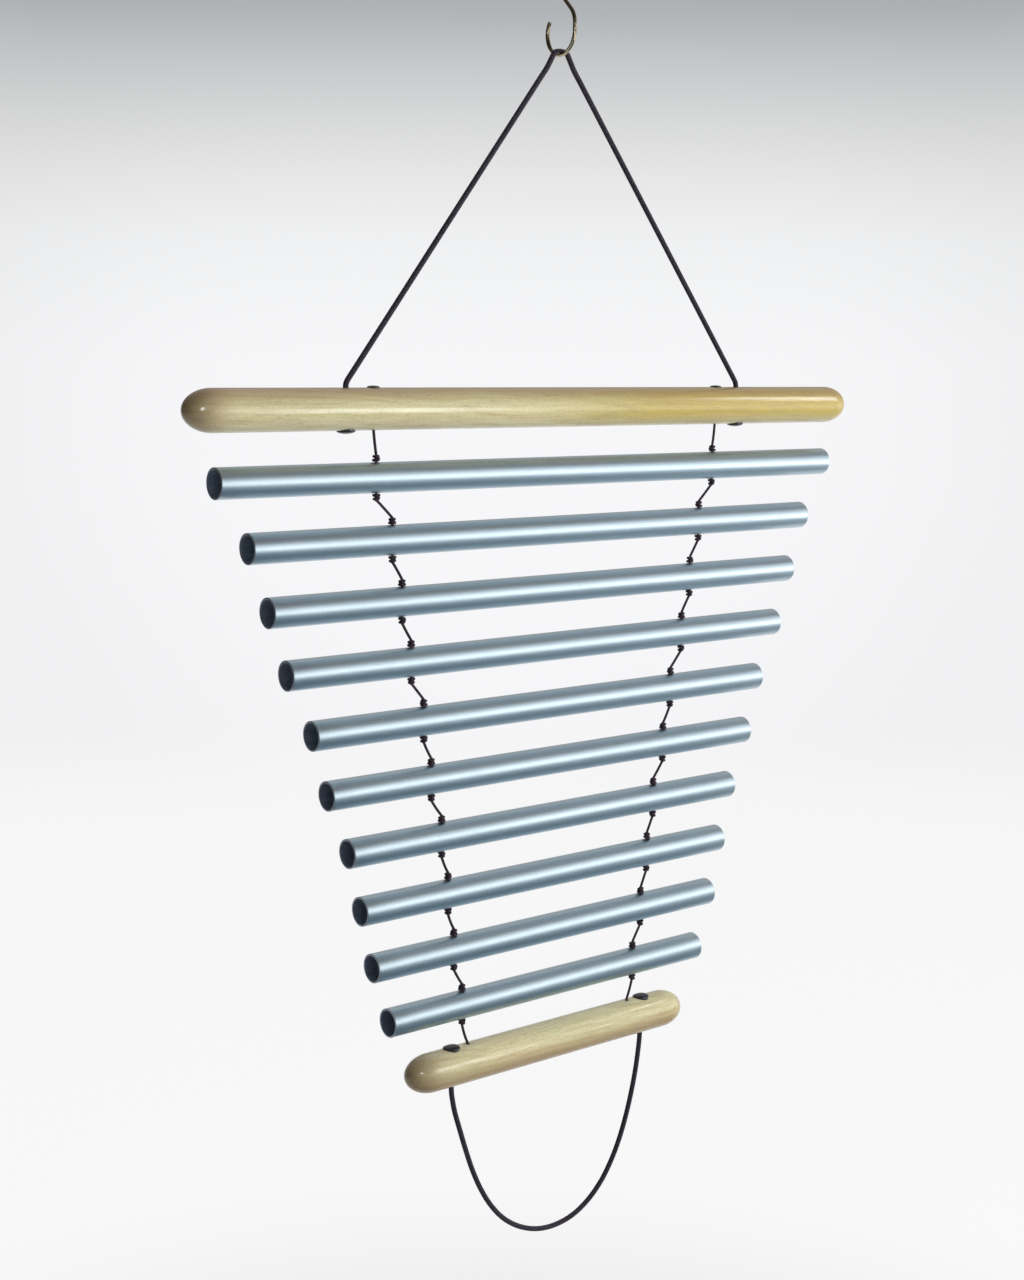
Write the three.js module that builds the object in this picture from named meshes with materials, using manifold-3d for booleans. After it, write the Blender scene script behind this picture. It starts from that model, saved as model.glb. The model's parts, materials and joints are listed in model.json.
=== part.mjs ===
// Circle chime: ten tuned aluminium tubes on two knotted strings, between two wooden rails.
// The top rail hangs on a thick cord over a brass S-hook, and a loop of the same cord hangs
// below the bottom rail. Millimetres, +Z up. +X runs along the tubes, to the right as seen from
// the front, and +Y points away from the front. The origin is where the hook is held: the
// underside of its wire at the top of the upper bowl. Left is -X.
import * as THREE from 'three';
import { mergeVertices, toCreasedNormals } from 'three/addons/utils/BufferGeometryUtils.js';
import Module from 'manifold-3d';

const wasm = await Module();
wasm.setup();

// Gap between pieces that touch
const TOUCH = 0.3;
const SWING_TOUCH = 0.5; // between a knot and the next stretch of string, which swings under it

// S-hook, bent in the YZ plane so that its wire crosses under the cord
const HOOK_WIRE_DIAMETER = 2.6;
const HOOK_BOWL_RADIUS = 13.7; // to the middle of the wire
const HOOK_STRAIGHT = 4; // upright stretch between a bowl and the bend into the shank
const HOOK_SHANK_LEAN = 45; // degrees from upright
const HOOK_TIP_RISE = 34; // degrees that a bowl goes on past level, at its open end

// Cords and strings
const CORD_DIAMETER = 3.5;
const STRING_DIAMETER = 1.8;
const HANGER_DROP = 224; // middle of the wire at the hook's lowest point to the top rail's axis
const CORD_BEND_RADIUS = 7; // tightest bend, to the middle of the cord
const CORD_NECK_RADIUS = 40; // where a leg eases out of the bend over the wire
const CORD_NECK_LEAN = 66; // degrees from level, where that bend meets the leg
const LOOP_DEPTH = 125.7; // middle of the cord at its lowest point, below its exits
const CORD_EXIT_RISE = 0.35; // end of a cord's free run off the rail

// Rails
const RAIL_DIAMETER = 26;
const RAIL_END_LENGTH = 19; // length of a rounded end
const TOP_RAIL_STRING_SPACING = 290; // between the holes of the two strings
const TOP_RAIL_CORD_OUTSET = 20; // from a string's hole out to the cord's
const TOP_RAIL_OVERHANG = 110; // from the cord's hole out to the end of the rail
const BOTTOM_RAIL_STRING_SPACING = 142;
const BOTTOM_RAIL_CORD_OUTSET = 13.5;
const BOTTOM_RAIL_OVERHANG = 36.25;

// Tubes
const TUBE_DIAMETER = 19;
const TUBE_WALL = 1.2;
const LONGEST_TUBE = 511;
const SEMITONE_STEPS = [0, 3, 5, 7, 10, 12, 15, 17, 19, 22]; // above the longest tube's note
const NODE_SHARE = 0.22; // hole's distance from the tube's end, as a share of the tube
const RAIL_TO_TUBE = 42; // axis to axis
const TUBE_PITCH = 39.1;
const TUBE_TO_RAIL = 41.4;

// Holes, knots and the caps over them
const CORD_HOLE_DIAMETER = 4.4;
const CORD_KNOT_WIDTH = 8.6;
const CORD_KNOT_HEIGHT = 5.6;
const CORD_CAP_DIAMETER = 11.6;
const CORD_CAP_RISE = 1.9;
const CORD_RECESS = 1.2; // depth in its hole at which the cord bends when it swings
const STRING_HOLE_DIAMETER = 2.8;
const STRING_KNOT_WIDTH = 5.2;
const STRING_KNOT_HEIGHT = 4.2;
const STRING_CAP_DIAMETER = 8;
const STRING_CAP_RISE = 1.2;
const KNOT_CLEARANCE = 0.5; // round a stopper knot in its counterbore
const CAP_PLUG_DEPTH = 2;
const CAP_EDGE = 0.4; // a cap's height above the rail at its rim
const WOODEN_PLUG_RISE = 0.7; // above the rail, where a plug closes a counterbore in place of a cap

// Facets
const RAIL_SIDES = 28;
const TUBE_SIDES = 24;
const WIRE_SIDES = 8;
const CORD_SIDES = 8;
const HOLE_SIDES = 12;
const CAP_SIDES = 16;
const KNOT_RINGS = 5;
const END_RINGS = 5;
const DOME_RINGS = 3;
const ARC_STEP = 15; // degrees between the points of a bend
const CUTS_PER_STRETCH = 2; // of a cord or wire, between two points of its route
const LEG_SHARES = [0.04, 0.5, 0.96]; // points of a cord's straight leg
const CREASE = 0.6; // radians between faces that are shaded as one surface

// Route of the loop cord, from the bottom rail's left hole round to the right one, as shares of
// half the spacing of the holes and of the loop's depth
const LOOP_CORD_ROUTE = [
  [-1, 0], [-0.994, 0.052], [-0.966, 0.147], [-0.911, 0.267], [-0.852, 0.39],
  [-0.781, 0.521], [-0.698, 0.641], [-0.592, 0.756], [-0.462, 0.855], [-0.296, 0.935],
  [-0.107, 0.986], [0.083, 1], [0.272, 0.979], [0.438, 0.923], [0.58, 0.839],
  [0.692, 0.736], [0.781, 0.621], [0.852, 0.497], [0.911, 0.362], [0.959, 0.219],
  [0.994, 0.06], [1, 0],
];

const RAIL_RADIUS = RAIL_DIAMETER / 2;
const TUBE_RADIUS = TUBE_DIAMETER / 2;
const WIRE_RADIUS = HOOK_WIRE_DIAMETER / 2;
const LEAN = THREE.MathUtils.degToRad(HOOK_SHANK_LEAN);
const CORD_RADIUS = CORD_DIAMETER / 2;
const TOP_RAIL_CORD_SPACING = TOP_RAIL_STRING_SPACING + 2 * TOP_RAIL_CORD_OUTSET;
const TOP_RAIL_LENGTH = TOP_RAIL_CORD_SPACING + 2 * TOP_RAIL_OVERHANG;
const BOTTOM_RAIL_CORD_SPACING = BOTTOM_RAIL_STRING_SPACING + 2 * BOTTOM_RAIL_CORD_OUTSET;
const BOTTOM_RAIL_LENGTH = BOTTOM_RAIL_CORD_SPACING + 2 * BOTTOM_RAIL_OVERHANG;

// Heights
const BOWL_TO_HOOK_MIDDLE = HOOK_STRAIGHT + HOOK_BOWL_RADIUS / Math.sin(LEAN);
const HOOK_MIDDLE_Z = WIRE_RADIUS - HOOK_BOWL_RADIUS - BOWL_TO_HOOK_MIDDLE;
const LOWER_BOWL_Z = HOOK_MIDDLE_Z - BOWL_TO_HOOK_MIDDLE;
const TOP_RAIL_Z = LOWER_BOWL_Z - HOOK_BOWL_RADIUS - HANGER_DROP;
const FIRST_TUBE_Z = TOP_RAIL_Z - RAIL_TO_TUBE;
const LAST_TUBE_Z = FIRST_TUBE_Z - (SEMITONE_STEPS.length - 1) * TUBE_PITCH;
const BOTTOM_RAIL_Z = LAST_TUBE_Z - TUBE_TO_RAIL;

// A knot's far side, measured from the axis of the tube that it touches
const TUBE_KNOT_REACH = TUBE_RADIUS + TOUCH + STRING_KNOT_HEIGHT;

const CORD_LINE = {
  radius: CORD_RADIUS,
  holeRadius: CORD_HOLE_DIAMETER / 2,
  knotRadius: CORD_KNOT_WIDTH / 2,
  knotHeight: CORD_KNOT_HEIGHT,
  capRadius: CORD_CAP_DIAMETER / 2,
  capRise: CORD_CAP_RISE,
  recess: CORD_RECESS,
};

const STRING_LINE = {
  radius: STRING_DIAMETER / 2,
  holeRadius: STRING_HOLE_DIAMETER / 2,
  knotRadius: STRING_KNOT_WIDTH / 2,
  knotHeight: STRING_KNOT_HEIGHT,
  capRadius: STRING_CAP_DIAMETER / 2,
  capRise: STRING_CAP_RISE,
  recess: 0,
};

const FINISHES = {
  brass: { color: 0xa98b4a, roughness: 0.28, metalness: 1 },
  cord: { color: 0x2a2531, roughness: 0.85, metalness: 0 },
  wood: { color: 0xc4b27c, roughness: 0.3, metalness: 0 },
  aluminium: { color: 0xaab8c2, roughness: 0.34, metalness: 1 },
  cap: { color: 0x17181d, roughness: 0.35, metalness: 0 },
};

// A tube's pitch rises as the square of its length falls, so a semitone is a 24th root of two.
function tubeLength(index) {
  return LONGEST_TUBE * 2 ** (-SEMITONE_STEPS[index] / 24);
}

// Distance of a tube's string holes from the middle of the tube
function holeOffset(index) {
  return tubeLength(index) * (0.5 - NODE_SHARE);
}

function tubeName(index) {
  return String(index + 1).padStart(2, '0');
}

// Closed geometry to a solid that can be joined and cut
function solidOf(geometry) {
  const bare = geometry.clone();
  bare.deleteAttribute('normal');
  bare.deleteAttribute('uv');
  const merged = mergeVertices(bare, 1e-4);
  return new wasm.Manifold(new wasm.Mesh({
    numProp: 3,
    vertProperties: new Float32Array(merged.attributes.position.array),
    triVerts: new Uint32Array(merged.index.array),
  }));
}

function geometryOf(solid) {
  const { vertProperties, triVerts } = solid.getMesh();
  const geometry = new THREE.BufferGeometry();
  geometry.setAttribute('position', new THREE.BufferAttribute(vertProperties, 3));
  geometry.setIndex(new THREE.BufferAttribute(triVerts, 1));
  return toCreasedNormals(geometry, CREASE);
}

function joined(solids) {
  return solids.reduce((whole, solid) => whole.add(solid));
}

function mesh(name, geometry, finish) {
  const part = new THREE.Mesh(geometry, new THREE.MeshStandardMaterial(FINISHES[finish]));
  part.name = name;
  return part;
}

function groupAt(z, parts) {
  const group = new THREE.Group();
  group.position.z = z;
  group.add(...parts);
  return group;
}

// Round rod between two points of the XZ plane
function rod([fromX, fromZ], [toX, toZ], radius, facets) {
  const from = new THREE.Vector3(fromX, 0, fromZ);
  const to = new THREE.Vector3(toX, 0, toZ);
  const along = to.clone().sub(from);
  const geometry = new THREE.CylinderGeometry(radius, radius, along.length(), facets);
  const turn = new THREE.Quaternion().setFromUnitVectors(THREE.Object3D.DEFAULT_UP, along.normalize());
  geometry.applyQuaternion(turn);
  geometry.translate((fromX + toX) / 2, 0, (fromZ + toZ) / 2);
  return solidOf(geometry);
}

// Lathed about the X axis: the profile's points are [distance from the axis, place along X]
function turnedAlongX(profile, facets) {
  const geometry = new THREE.LatheGeometry(profile.map(([r, x]) => new THREE.Vector2(r, x)), facets);
  geometry.rotateZ(-Math.PI / 2);
  return solidOf(geometry);
}

// Smooth curve that is cut evenly between each two of its points, so that short bends stay round
class RoutePath extends THREE.CatmullRomCurve3 {
  getPointAt(share, target) {
    return this.getPoint(share, target);
  }

  getTangentAt(share, target) {
    return this.getTangent(share, target);
  }
}

// Cord or wire with one round section along a smooth curve through its points
function swept(points, radius, facets) {
  const path = new RoutePath(points.map((point) => new THREE.Vector3(...point)));
  const section = new THREE.Shape().absarc(0, 0, radius, 0, 2 * Math.PI, false);
  return new THREE.ExtrudeGeometry(section, {
    steps: (points.length - 1) * CUTS_PER_STRETCH,
    curveSegments: facets / 2,
    extrudePath: path,
    bevelEnabled: false,
  });
}

// Stopper knot: a flattened ball about the line that it is tied in
function knot(x, z, line) {
  const geometry = new THREE.SphereGeometry(1, CORD_SIDES, KNOT_RINGS);
  geometry.rotateX(Math.PI / 2);
  geometry.scale(line.knotRadius, line.knotRadius, line.knotHeight / 2);
  geometry.translate(x, 0, z);
  return solidOf(geometry);
}

// Points of a bend in an upright plane, as [across, z]; the angles are in degrees from +across
function arc([centre, centreZ], radius, from, to) {
  const count = Math.ceil(Math.abs(to - from) / ARC_STEP);
  return Array.from({ length: count + 1 }, (_, i) => {
    const angle = THREE.MathUtils.degToRad(from + ((to - from) * i) / count);
    return [centre + radius * Math.cos(angle), centreZ + radius * Math.sin(angle)];
  });
}

// Half of the S-hook, from the open tip of its lower bowl to its shank
function lowerHookPoints() {
  return [
    ...arc([0, LOWER_BOWL_Z], HOOK_BOWL_RADIUS, HOOK_TIP_RISE, -180),
    ...arc([0, LOWER_BOWL_Z + HOOK_STRAIGHT], HOOK_BOWL_RADIUS, -180, -180 - HOOK_SHANK_LEAN),
  ];
}

function brassHook() {
  const lower = lowerHookPoints().map(([y, z]) => [0, y, z]);
  const upper = lower.map(([x, y, z]) => [x, -y, 2 * HOOK_MIDDLE_Z - z]).reverse();
  const points = [...lower, [0, 0, HOOK_MIDDLE_Z], ...upper];
  return mesh('brass_hook', swept(points, WIRE_RADIUS, WIRE_SIDES), 'brass');
}

// Right half of the hanging cord, from the middle of its bend over the wire down to the top rail:
// round the wire, back through the neck, straight, and round again to stand upright in its hole
function hangingCordHalf() {
  const wireTop = LOWER_BOWL_Z - HOOK_BOWL_RADIUS + WIRE_RADIUS;
  const bend = [0, wireTop + TOUCH + CORD_RADIUS - CORD_BEND_RADIUS];
  const foot = [TOP_RAIL_CORD_SPACING / 2 - CORD_BEND_RADIUS, TOP_RAIL_Z + RAIL_RADIUS + CORD_EXIT_RISE];
  const outward = THREE.MathUtils.degToRad(90 - CORD_NECK_LEAN);
  const reach = CORD_BEND_RADIUS + CORD_NECK_RADIUS;
  const neck = [reach * Math.cos(outward), bend[1] + reach * Math.sin(outward)];
  const across = foot[0] - neck[0];
  const down = neck[1] - foot[1];
  const crossing = Math.asin(reach / Math.hypot(across, down));
  const lean = THREE.MathUtils.radToDeg(Math.atan2(down, across) - crossing);
  const footArc = arc(foot, CORD_BEND_RADIUS, 90 - lean, 0);
  const neckArc = arc(neck, CORD_NECK_RADIUS, 270 - CORD_NECK_LEAN, 270 - lean);
  const [[fromX, fromZ], [toX, toZ]] = [neckArc[neckArc.length - 1], footArc[0]];
  const leg = LEG_SHARES.map((share) => [
    fromX + (toX - fromX) * share, fromZ + (toZ - fromZ) * share,
  ]);
  return [...arc(bend, CORD_BEND_RADIUS, 90, 90 - CORD_NECK_LEAN), ...neckArc.slice(1), ...leg, ...footArc];
}

function hangingCord() {
  const half = hangingCordHalf();
  const points = [...half.slice(1).map(([x, z]) => [-x, z]).reverse(), ...half];
  return mesh('hanging_cord', swept(points.map(([x, z]) => [x, 0, z]), CORD_RADIUS, CORD_SIDES), 'cord');
}

function loopCord() {
  const exitZ = BOTTOM_RAIL_Z - RAIL_RADIUS - CORD_EXIT_RISE;
  const points = LOOP_CORD_ROUTE.map(([across, depth]) => [
    (across * BOTTOM_RAIL_CORD_SPACING) / 2, 0, exitZ - depth * LOOP_DEPTH,
  ]);
  return mesh('loop_cord', swept(points, CORD_RADIUS, CORD_SIDES), 'cord');
}

// A line's counterbore in a rail: the knot lies in it, under the cap's plug
function counterboreRadius(line) {
  return line.knotRadius + KNOT_CLEARANCE;
}

function counterboreDepth(line) {
  return CAP_PLUG_DEPTH + line.knotHeight + 2 * TOUCH;
}

// Hole right through a rail, with a counterbore on top (side 1) or underneath (side -1)
function boreTool({ x, line, side }) {
  const floor = side * (RAIL_RADIUS - counterboreDepth(line));
  const past = 1;
  return joined([
    rod([x, -RAIL_RADIUS - past], [x, RAIL_RADIUS + past], line.holeRadius, HOLE_SIDES),
    rod([x, floor], [x, side * (RAIL_RADIUS + past)], counterboreRadius(line), HOLE_SIDES),
  ]);
}

// Wooden dowel with rounded ends, bored for each line that is knotted in it
function rail(name, length, bores) {
  const end = [];
  for (let i = 0; i <= END_RINGS; i += 1) {
    const angle = (i / END_RINGS) * (Math.PI / 2);
    const fromEnd = RAIL_END_LENGTH * (1 - Math.cos(angle));
    end.push([RAIL_RADIUS * Math.sin(angle), length / 2 - fromEnd]);
  }
  const profile = [...end.map(([r, x]) => [r, -x]), ...end.reverse()];
  const dowel = turnedAlongX(profile, RAIL_SIDES);
  return mesh(name, geometryOf(dowel.subtract(joined(bores.map(boreTool)))), 'wood');
}

// Domed cap whose rim follows the rail, with a plug that fills the mouth of the counterbore
function cap(name, { x, line, side }) {
  const skirt = RAIL_RADIUS - Math.sqrt(RAIL_RADIUS ** 2 - line.capRadius ** 2) + CAP_EDGE;
  const profile = [[0, -skirt], [line.capRadius, -skirt]];
  for (let i = 0; i <= DOME_RINGS; i += 1) {
    const angle = (i / DOME_RINGS) * (Math.PI / 2);
    const height = CAP_EDGE + (line.capRise - CAP_EDGE) * Math.sin(angle);
    profile.push([line.capRadius * Math.cos(angle), height]);
  }
  profile[profile.length - 1][0] = 0;
  const dome = new THREE.LatheGeometry(profile.map(([r, z]) => new THREE.Vector2(r, z)), CAP_SIDES);
  dome.rotateX(side * (Math.PI / 2));
  dome.translate(x, 0, side * RAIL_RADIUS);
  const reach = 2 * line.capRadius;
  const seat = turnedAlongX([
    [0, x - reach], [RAIL_RADIUS + TOUCH, x - reach], [RAIL_RADIUS + TOUCH, x + reach], [0, x + reach],
  ], RAIL_SIDES);
  const plugFrom = side * (RAIL_RADIUS - CAP_PLUG_DEPTH);
  const plugTo = side * (RAIL_RADIUS + line.capRise / 2);
  const plug = rod([x, plugFrom], [x, plugTo], counterboreRadius(line) - TOUCH, HOLE_SIDES);
  return mesh(name, geometryOf(solidOf(dome).subtract(seat).add(plug)), 'cap');
}

// Wooden plug in the mouth of a counterbore, flush with the rail at its sides and domed between
function woodenPlug(name, { x, line, side }) {
  const radius = counterboreRadius(line) - TOUCH;
  const rim = Math.sqrt(RAIL_RADIUS ** 2 - radius ** 2) - RAIL_RADIUS;
  const profile = [[0, -CAP_PLUG_DEPTH], [radius, -CAP_PLUG_DEPTH]];
  for (let i = 0; i <= DOME_RINGS; i += 1) {
    const angle = (i / DOME_RINGS) * (Math.PI / 2);
    profile.push([radius * Math.cos(angle), rim + (WOODEN_PLUG_RISE - rim) * Math.sin(angle)]);
  }
  profile[profile.length - 1][0] = 0;
  const plug = new THREE.LatheGeometry(profile.map(([r, z]) => new THREE.Vector2(r, z)), CAP_SIDES);
  plug.rotateX(side * (Math.PI / 2));
  plug.translate(x, 0, side * RAIL_RADIUS);
  return mesh(name, geometryOf(solidOf(plug)), 'wood');
}

// Knot in a rail's counterbore and the run through the rail, which ends at the far surface
function stopper({ x, line, side }) {
  const knotZ = side * (RAIL_RADIUS - counterboreDepth(line) + TOUCH + line.knotHeight / 2);
  const endZ = -side * (RAIL_RADIUS - line.recess);
  return joined([knot(x, knotZ, line), rod([x, knotZ], [x, endZ], line.radius, CORD_SIDES)]);
}

function sides(spacing) {
  return [['left', -spacing / 2], ['right', spacing / 2]];
}

function topRail() {
  const cords = sides(TOP_RAIL_CORD_SPACING).map(([hand, x]) => ({ hand, x, line: CORD_LINE, side: -1 }));
  const strings = sides(TOP_RAIL_STRING_SPACING).map(([hand, x]) => ({ hand, x, line: STRING_LINE, side: 1 }));
  return groupAt(TOP_RAIL_Z, [
    rail('top_rail', TOP_RAIL_LENGTH, [...cords, ...strings]),
    ...cords.flatMap((bore) => [
      mesh(`hanging_cord_knot_${bore.hand}`, geometryOf(stopper(bore)), 'cord'),
      cap(`top_rail_cord_cap_${bore.hand}`, bore),
    ]),
    ...strings.flatMap((bore) => [
      mesh(`string_${bore.hand}_start`, geometryOf(stopper(bore)), 'cord'),
      cap(`top_rail_string_cap_${bore.hand}`, bore),
    ]),
  ]);
}

function bottomRail() {
  const loops = sides(BOTTOM_RAIL_CORD_SPACING).map(([hand, x]) => ({ hand, x, line: CORD_LINE, side: 1 }));
  const strings = sides(BOTTOM_RAIL_STRING_SPACING).map(([hand, x]) => ({ hand, x, line: STRING_LINE, side: -1 }));
  const lastHole = holeOffset(SEMITONE_STEPS.length - 1);
  const spanTop = TUBE_TO_RAIL - TUBE_KNOT_REACH - SWING_TOUCH;
  const stringEnd = (bore) => stopper(bore).add(rod(
    [Math.sign(bore.x) * lastHole, spanTop], [bore.x, RAIL_RADIUS], STRING_LINE.radius, CORD_SIDES,
  ));
  return groupAt(BOTTOM_RAIL_Z, [
    rail('bottom_rail', BOTTOM_RAIL_LENGTH, [...loops, ...strings]),
    ...loops.flatMap((bore) => [
      mesh(`loop_cord_knot_${bore.hand}`, geometryOf(stopper(bore)), 'cord'),
      cap(`bottom_rail_loop_cap_${bore.hand}`, bore),
    ]),
    ...strings.flatMap((bore) => [
      mesh(`string_${bore.hand}_end`, geometryOf(stringEnd(bore)), 'cord'),
      woodenPlug(`bottom_rail_string_plug_${bore.hand}`, bore),
    ]),
  ]);
}

// Tube with its two string holes drilled through both walls
function tube(index) {
  const half = tubeLength(index) / 2;
  const inner = TUBE_RADIUS - TUBE_WALL;
  const pipe = turnedAlongX([
    [inner, -half], [TUBE_RADIUS, -half], [TUBE_RADIUS, half], [inner, half], [inner, -half],
  ], TUBE_SIDES);
  const drills = sides(2 * holeOffset(index)).map(([, x]) => rod(
    [x, -TUBE_DIAMETER], [x, TUBE_DIAMETER], STRING_LINE.holeRadius, HOLE_SIDES,
  ));
  return mesh(`tube_${tubeName(index)}`, geometryOf(pipe.subtract(joined(drills))), 'aluminium');
}

// String from the piece above: the slanting stretch, a knot on each side of the tube and the run between
function tubeString(index, hand, x) {
  const knotZ = TUBE_RADIUS + TOUCH + STRING_KNOT_HEIGHT / 2;
  const above = index === 0
    ? { x: TOP_RAIL_STRING_SPACING / 2, z: RAIL_TO_TUBE - RAIL_RADIUS - TOUCH }
    : { x: holeOffset(index - 1), z: TUBE_PITCH - TUBE_KNOT_REACH - SWING_TOUCH };
  const string = joined([
    rod([Math.sign(x) * above.x, above.z], [x, knotZ], STRING_LINE.radius, CORD_SIDES),
    knot(x, knotZ, STRING_LINE),
    rod([x, knotZ], [x, -knotZ], STRING_LINE.radius, CORD_SIDES),
    knot(x, -knotZ, STRING_LINE),
  ]);
  return mesh(`string_${hand}_${tubeName(index)}`, geometryOf(string), 'cord');
}

function strungTube(index) {
  return groupAt(FIRST_TUBE_Z - index * TUBE_PITCH, [
    tube(index),
    ...sides(2 * holeOffset(index)).map(([hand, x]) => tubeString(index, hand, x)),
  ]);
}

const chime = new THREE.Group();
chime.add(brassHook(), hangingCord(), topRail());
SEMITONE_STEPS.forEach((step, index) => chime.add(strungTube(index)));
chime.add(bottomRail(), loopCord());

export default chime;
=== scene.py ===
"""Looks of a circle chime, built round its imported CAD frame.

Ten satin aluminium tubes hang on two knotted strings between two lacquered wooden rails. The top
rail hangs on a braided cord over a brass hook, and a loop of the same cord hangs below the bottom
rail. All lengths are in metres, +Z is up and +X runs along the tubes.
"""

import json
import logging
import math
from dataclasses import dataclass
from enum import Enum, IntEnum
from typing import Callable, Mapping, Optional, Sequence, Union

import bpy
import numpy as np
from mathutils import Matrix

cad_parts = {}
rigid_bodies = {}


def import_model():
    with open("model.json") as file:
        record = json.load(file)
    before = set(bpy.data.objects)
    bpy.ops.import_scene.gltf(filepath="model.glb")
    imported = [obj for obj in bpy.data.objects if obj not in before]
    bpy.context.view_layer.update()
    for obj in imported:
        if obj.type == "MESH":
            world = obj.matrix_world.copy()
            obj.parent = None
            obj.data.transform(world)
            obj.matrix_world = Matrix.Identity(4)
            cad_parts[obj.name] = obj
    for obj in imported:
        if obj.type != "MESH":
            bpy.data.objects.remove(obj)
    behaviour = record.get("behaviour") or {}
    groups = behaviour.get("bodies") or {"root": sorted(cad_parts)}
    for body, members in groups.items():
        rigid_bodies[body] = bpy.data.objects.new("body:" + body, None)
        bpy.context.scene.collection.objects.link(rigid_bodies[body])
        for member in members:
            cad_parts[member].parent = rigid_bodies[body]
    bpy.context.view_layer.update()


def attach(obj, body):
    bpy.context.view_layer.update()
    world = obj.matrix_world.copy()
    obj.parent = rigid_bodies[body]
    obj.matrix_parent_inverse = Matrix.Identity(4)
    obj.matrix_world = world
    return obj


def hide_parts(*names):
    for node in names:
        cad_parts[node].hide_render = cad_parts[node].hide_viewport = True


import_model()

LOG = logging.getLogger("chime")
Array = np.ndarray
Colour = tuple[float, float, float]
Material = bpy.types.Material
Number = Union[int, float]

RAIL_RADIUS = 0.013
TOP_RAIL_Z, BOTTOM_RAIL_Z = -0.296849, -0.732149
TOP_STRING_X = 0.145
TOUCH = 0.0003  # gap between a knot and what it bears on
PLUG_DEPTH = 0.002  # of a cap's or a plug's neck in its counterbore
STRING_IN_RAIL = 0.0012  # by which the first stretch of string starts inside the top rail
KNOT_OVERLAP = 0.0004  # by which every later stretch starts inside the knot above it
NEARLY_NOTHING = 1e-9  # keeps a division finite


class Hand(Enum):
    """Left or right end of a rail or a tube, as a sign along X."""

    LEFT = -1
    RIGHT = 1

    @property
    def word(self) -> str:
        """Name of the side, as the CAD's node names have it."""
        return self.name.lower()


class Side(Enum):
    """Top or underside of a rail or a tube, as a sign along Z."""

    UNDER = -1
    TOP = 1

    @property
    def across(self) -> "Side":
        """The other side."""
        return Side(-self.value)


class Slot(Enum):
    """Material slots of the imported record."""

    BRASS = "brass"
    CORD = "cord"
    STRING = "string"
    WOOD = "wood"
    ALUMINIUM = "aluminium"
    CAP = "cap"


# Meshes


@dataclass
class Surface:
    """Closed surface on a grid of points that wraps round its columns.

    Attributes:
        points: Grid of rows by columns by three.
        along: Distance along the surface for each row, for its UV map.
        ring: Whether the last row joins the first. Otherwise a fan closes each end.
    """

    points: Array
    along: Array
    ring: bool = False

    def polygons(self) -> tuple[Array, list[Array], list[Array]]:
        """Vertices and faces of the surface, facing outwards.

        The corners' triple products add up to the volume, which is below zero where they face in.

        Returns:
            The vertices, the face arrays and their corner UVs.
        """
        rows, cols = self.points.shape[:2]
        vertices = self.points.reshape(-1, 3)
        row = np.arange(rows if self.ring else rows - 1)[:, None]
        edge = np.arange(cols)
        after = (edge + 1) % cols
        low, high = row * cols, (row + 1) % rows * cols
        quads = np.stack([low + edge, low + after, high + after, high + edge], -1).reshape(-1, 4)
        shape = (len(row), cols)
        across = [np.broadcast_to((edge[None] + step) / cols, shape) for step in (0, 1)]
        along = [np.broadcast_to(self.along[(row + step) % rows], shape) for step in (0, 1)]
        corners = [np.stack([across[i], along[j]], -1) for i, j in ((0, 0), (1, 0), (1, 1), (0, 1))]
        faces, maps = [quads], [np.stack(corners, 2).reshape(-1, 4, 2)]
        if not self.ring:
            pole, base = len(vertices), (rows - 1) * cols
            faces.append(np.stack([np.full(cols, pole), after, edge], -1))
            faces.append(np.stack([np.full(cols, pole + 1), base + edge, base + after], -1))
            for place in (self.along[0], self.along[-1]):
                corner = np.stack([(edge + 0.5) / cols, np.full(cols, place)], -1)
                maps.append(np.repeat(corner[:, None], 3, 1))
            vertices = np.vstack([vertices, self.points[0].mean(0), self.points[-1].mean(0)])
        a, b, c, d = (vertices[quads[:, corner]] for corner in range(4))
        if np.einsum("ij,ij->", a, np.cross(b, c) + np.cross(c, d)) < 0:
            faces = [face[:, ::-1] for face in faces]
            maps = [corner[:, ::-1] for corner in maps]
        return vertices, faces, maps

    def piece(self, name: str) -> bpy.types.Object:
        """Makes the surface a smooth mesh object at the origin.

        Args:
            name: Name of the piece.

        Returns:
            The linked object, with a UV map called "lay".
        """
        vertices, faces, maps = self.polygons()
        mesh = bpy.data.meshes.new(name)
        corners = np.concatenate([face.ravel() for face in faces]).astype(np.int32)
        sizes = np.concatenate([np.full(len(face), face.shape[1]) for face in faces])
        starts = np.concatenate([[0], np.cumsum(sizes)[:-1]]).astype(np.int32)
        mesh.vertices.add(len(vertices))
        mesh.vertices.foreach_set("co", vertices.astype(np.float32).ravel())
        mesh.loops.add(len(corners))
        mesh.loops.foreach_set("vertex_index", corners)
        mesh.polygons.add(len(starts))
        mesh.polygons.foreach_set("loop_start", starts)
        mesh.update(calc_edges=True)
        lay = np.concatenate([corner.reshape(-1, 2) for corner in maps]).astype(np.float32)
        mesh.uv_layers.new(name="lay").data.foreach_set("uv", lay.ravel())
        mesh.polygons.foreach_set("use_smooth", np.ones(len(starts), bool))
        mesh.validate()
        piece = bpy.data.objects.new(name, mesh)
        bpy.context.scene.collection.objects.link(piece)
        return piece


def dress(
    piece: bpy.types.Object, body: str, node: str, slot: Slot, *materials: Material,
) -> None:
    """Gives a piece its finishes and its body, and hides the CAD node that it stands for.

    Args:
        piece: The piece.
        body: Body that it rides on.
        node: CAD node that it stands for.
        slot: Slot of the record. Not used.
        materials: Its finishes, in the order of its own slots.
    """
    for material in materials:
        piece.data.materials.append(material)
    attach(piece, body)
    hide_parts(node)
    LOG.info("%s: %d faces on %s", piece.name, len(piece.data.polygons), body)


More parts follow.
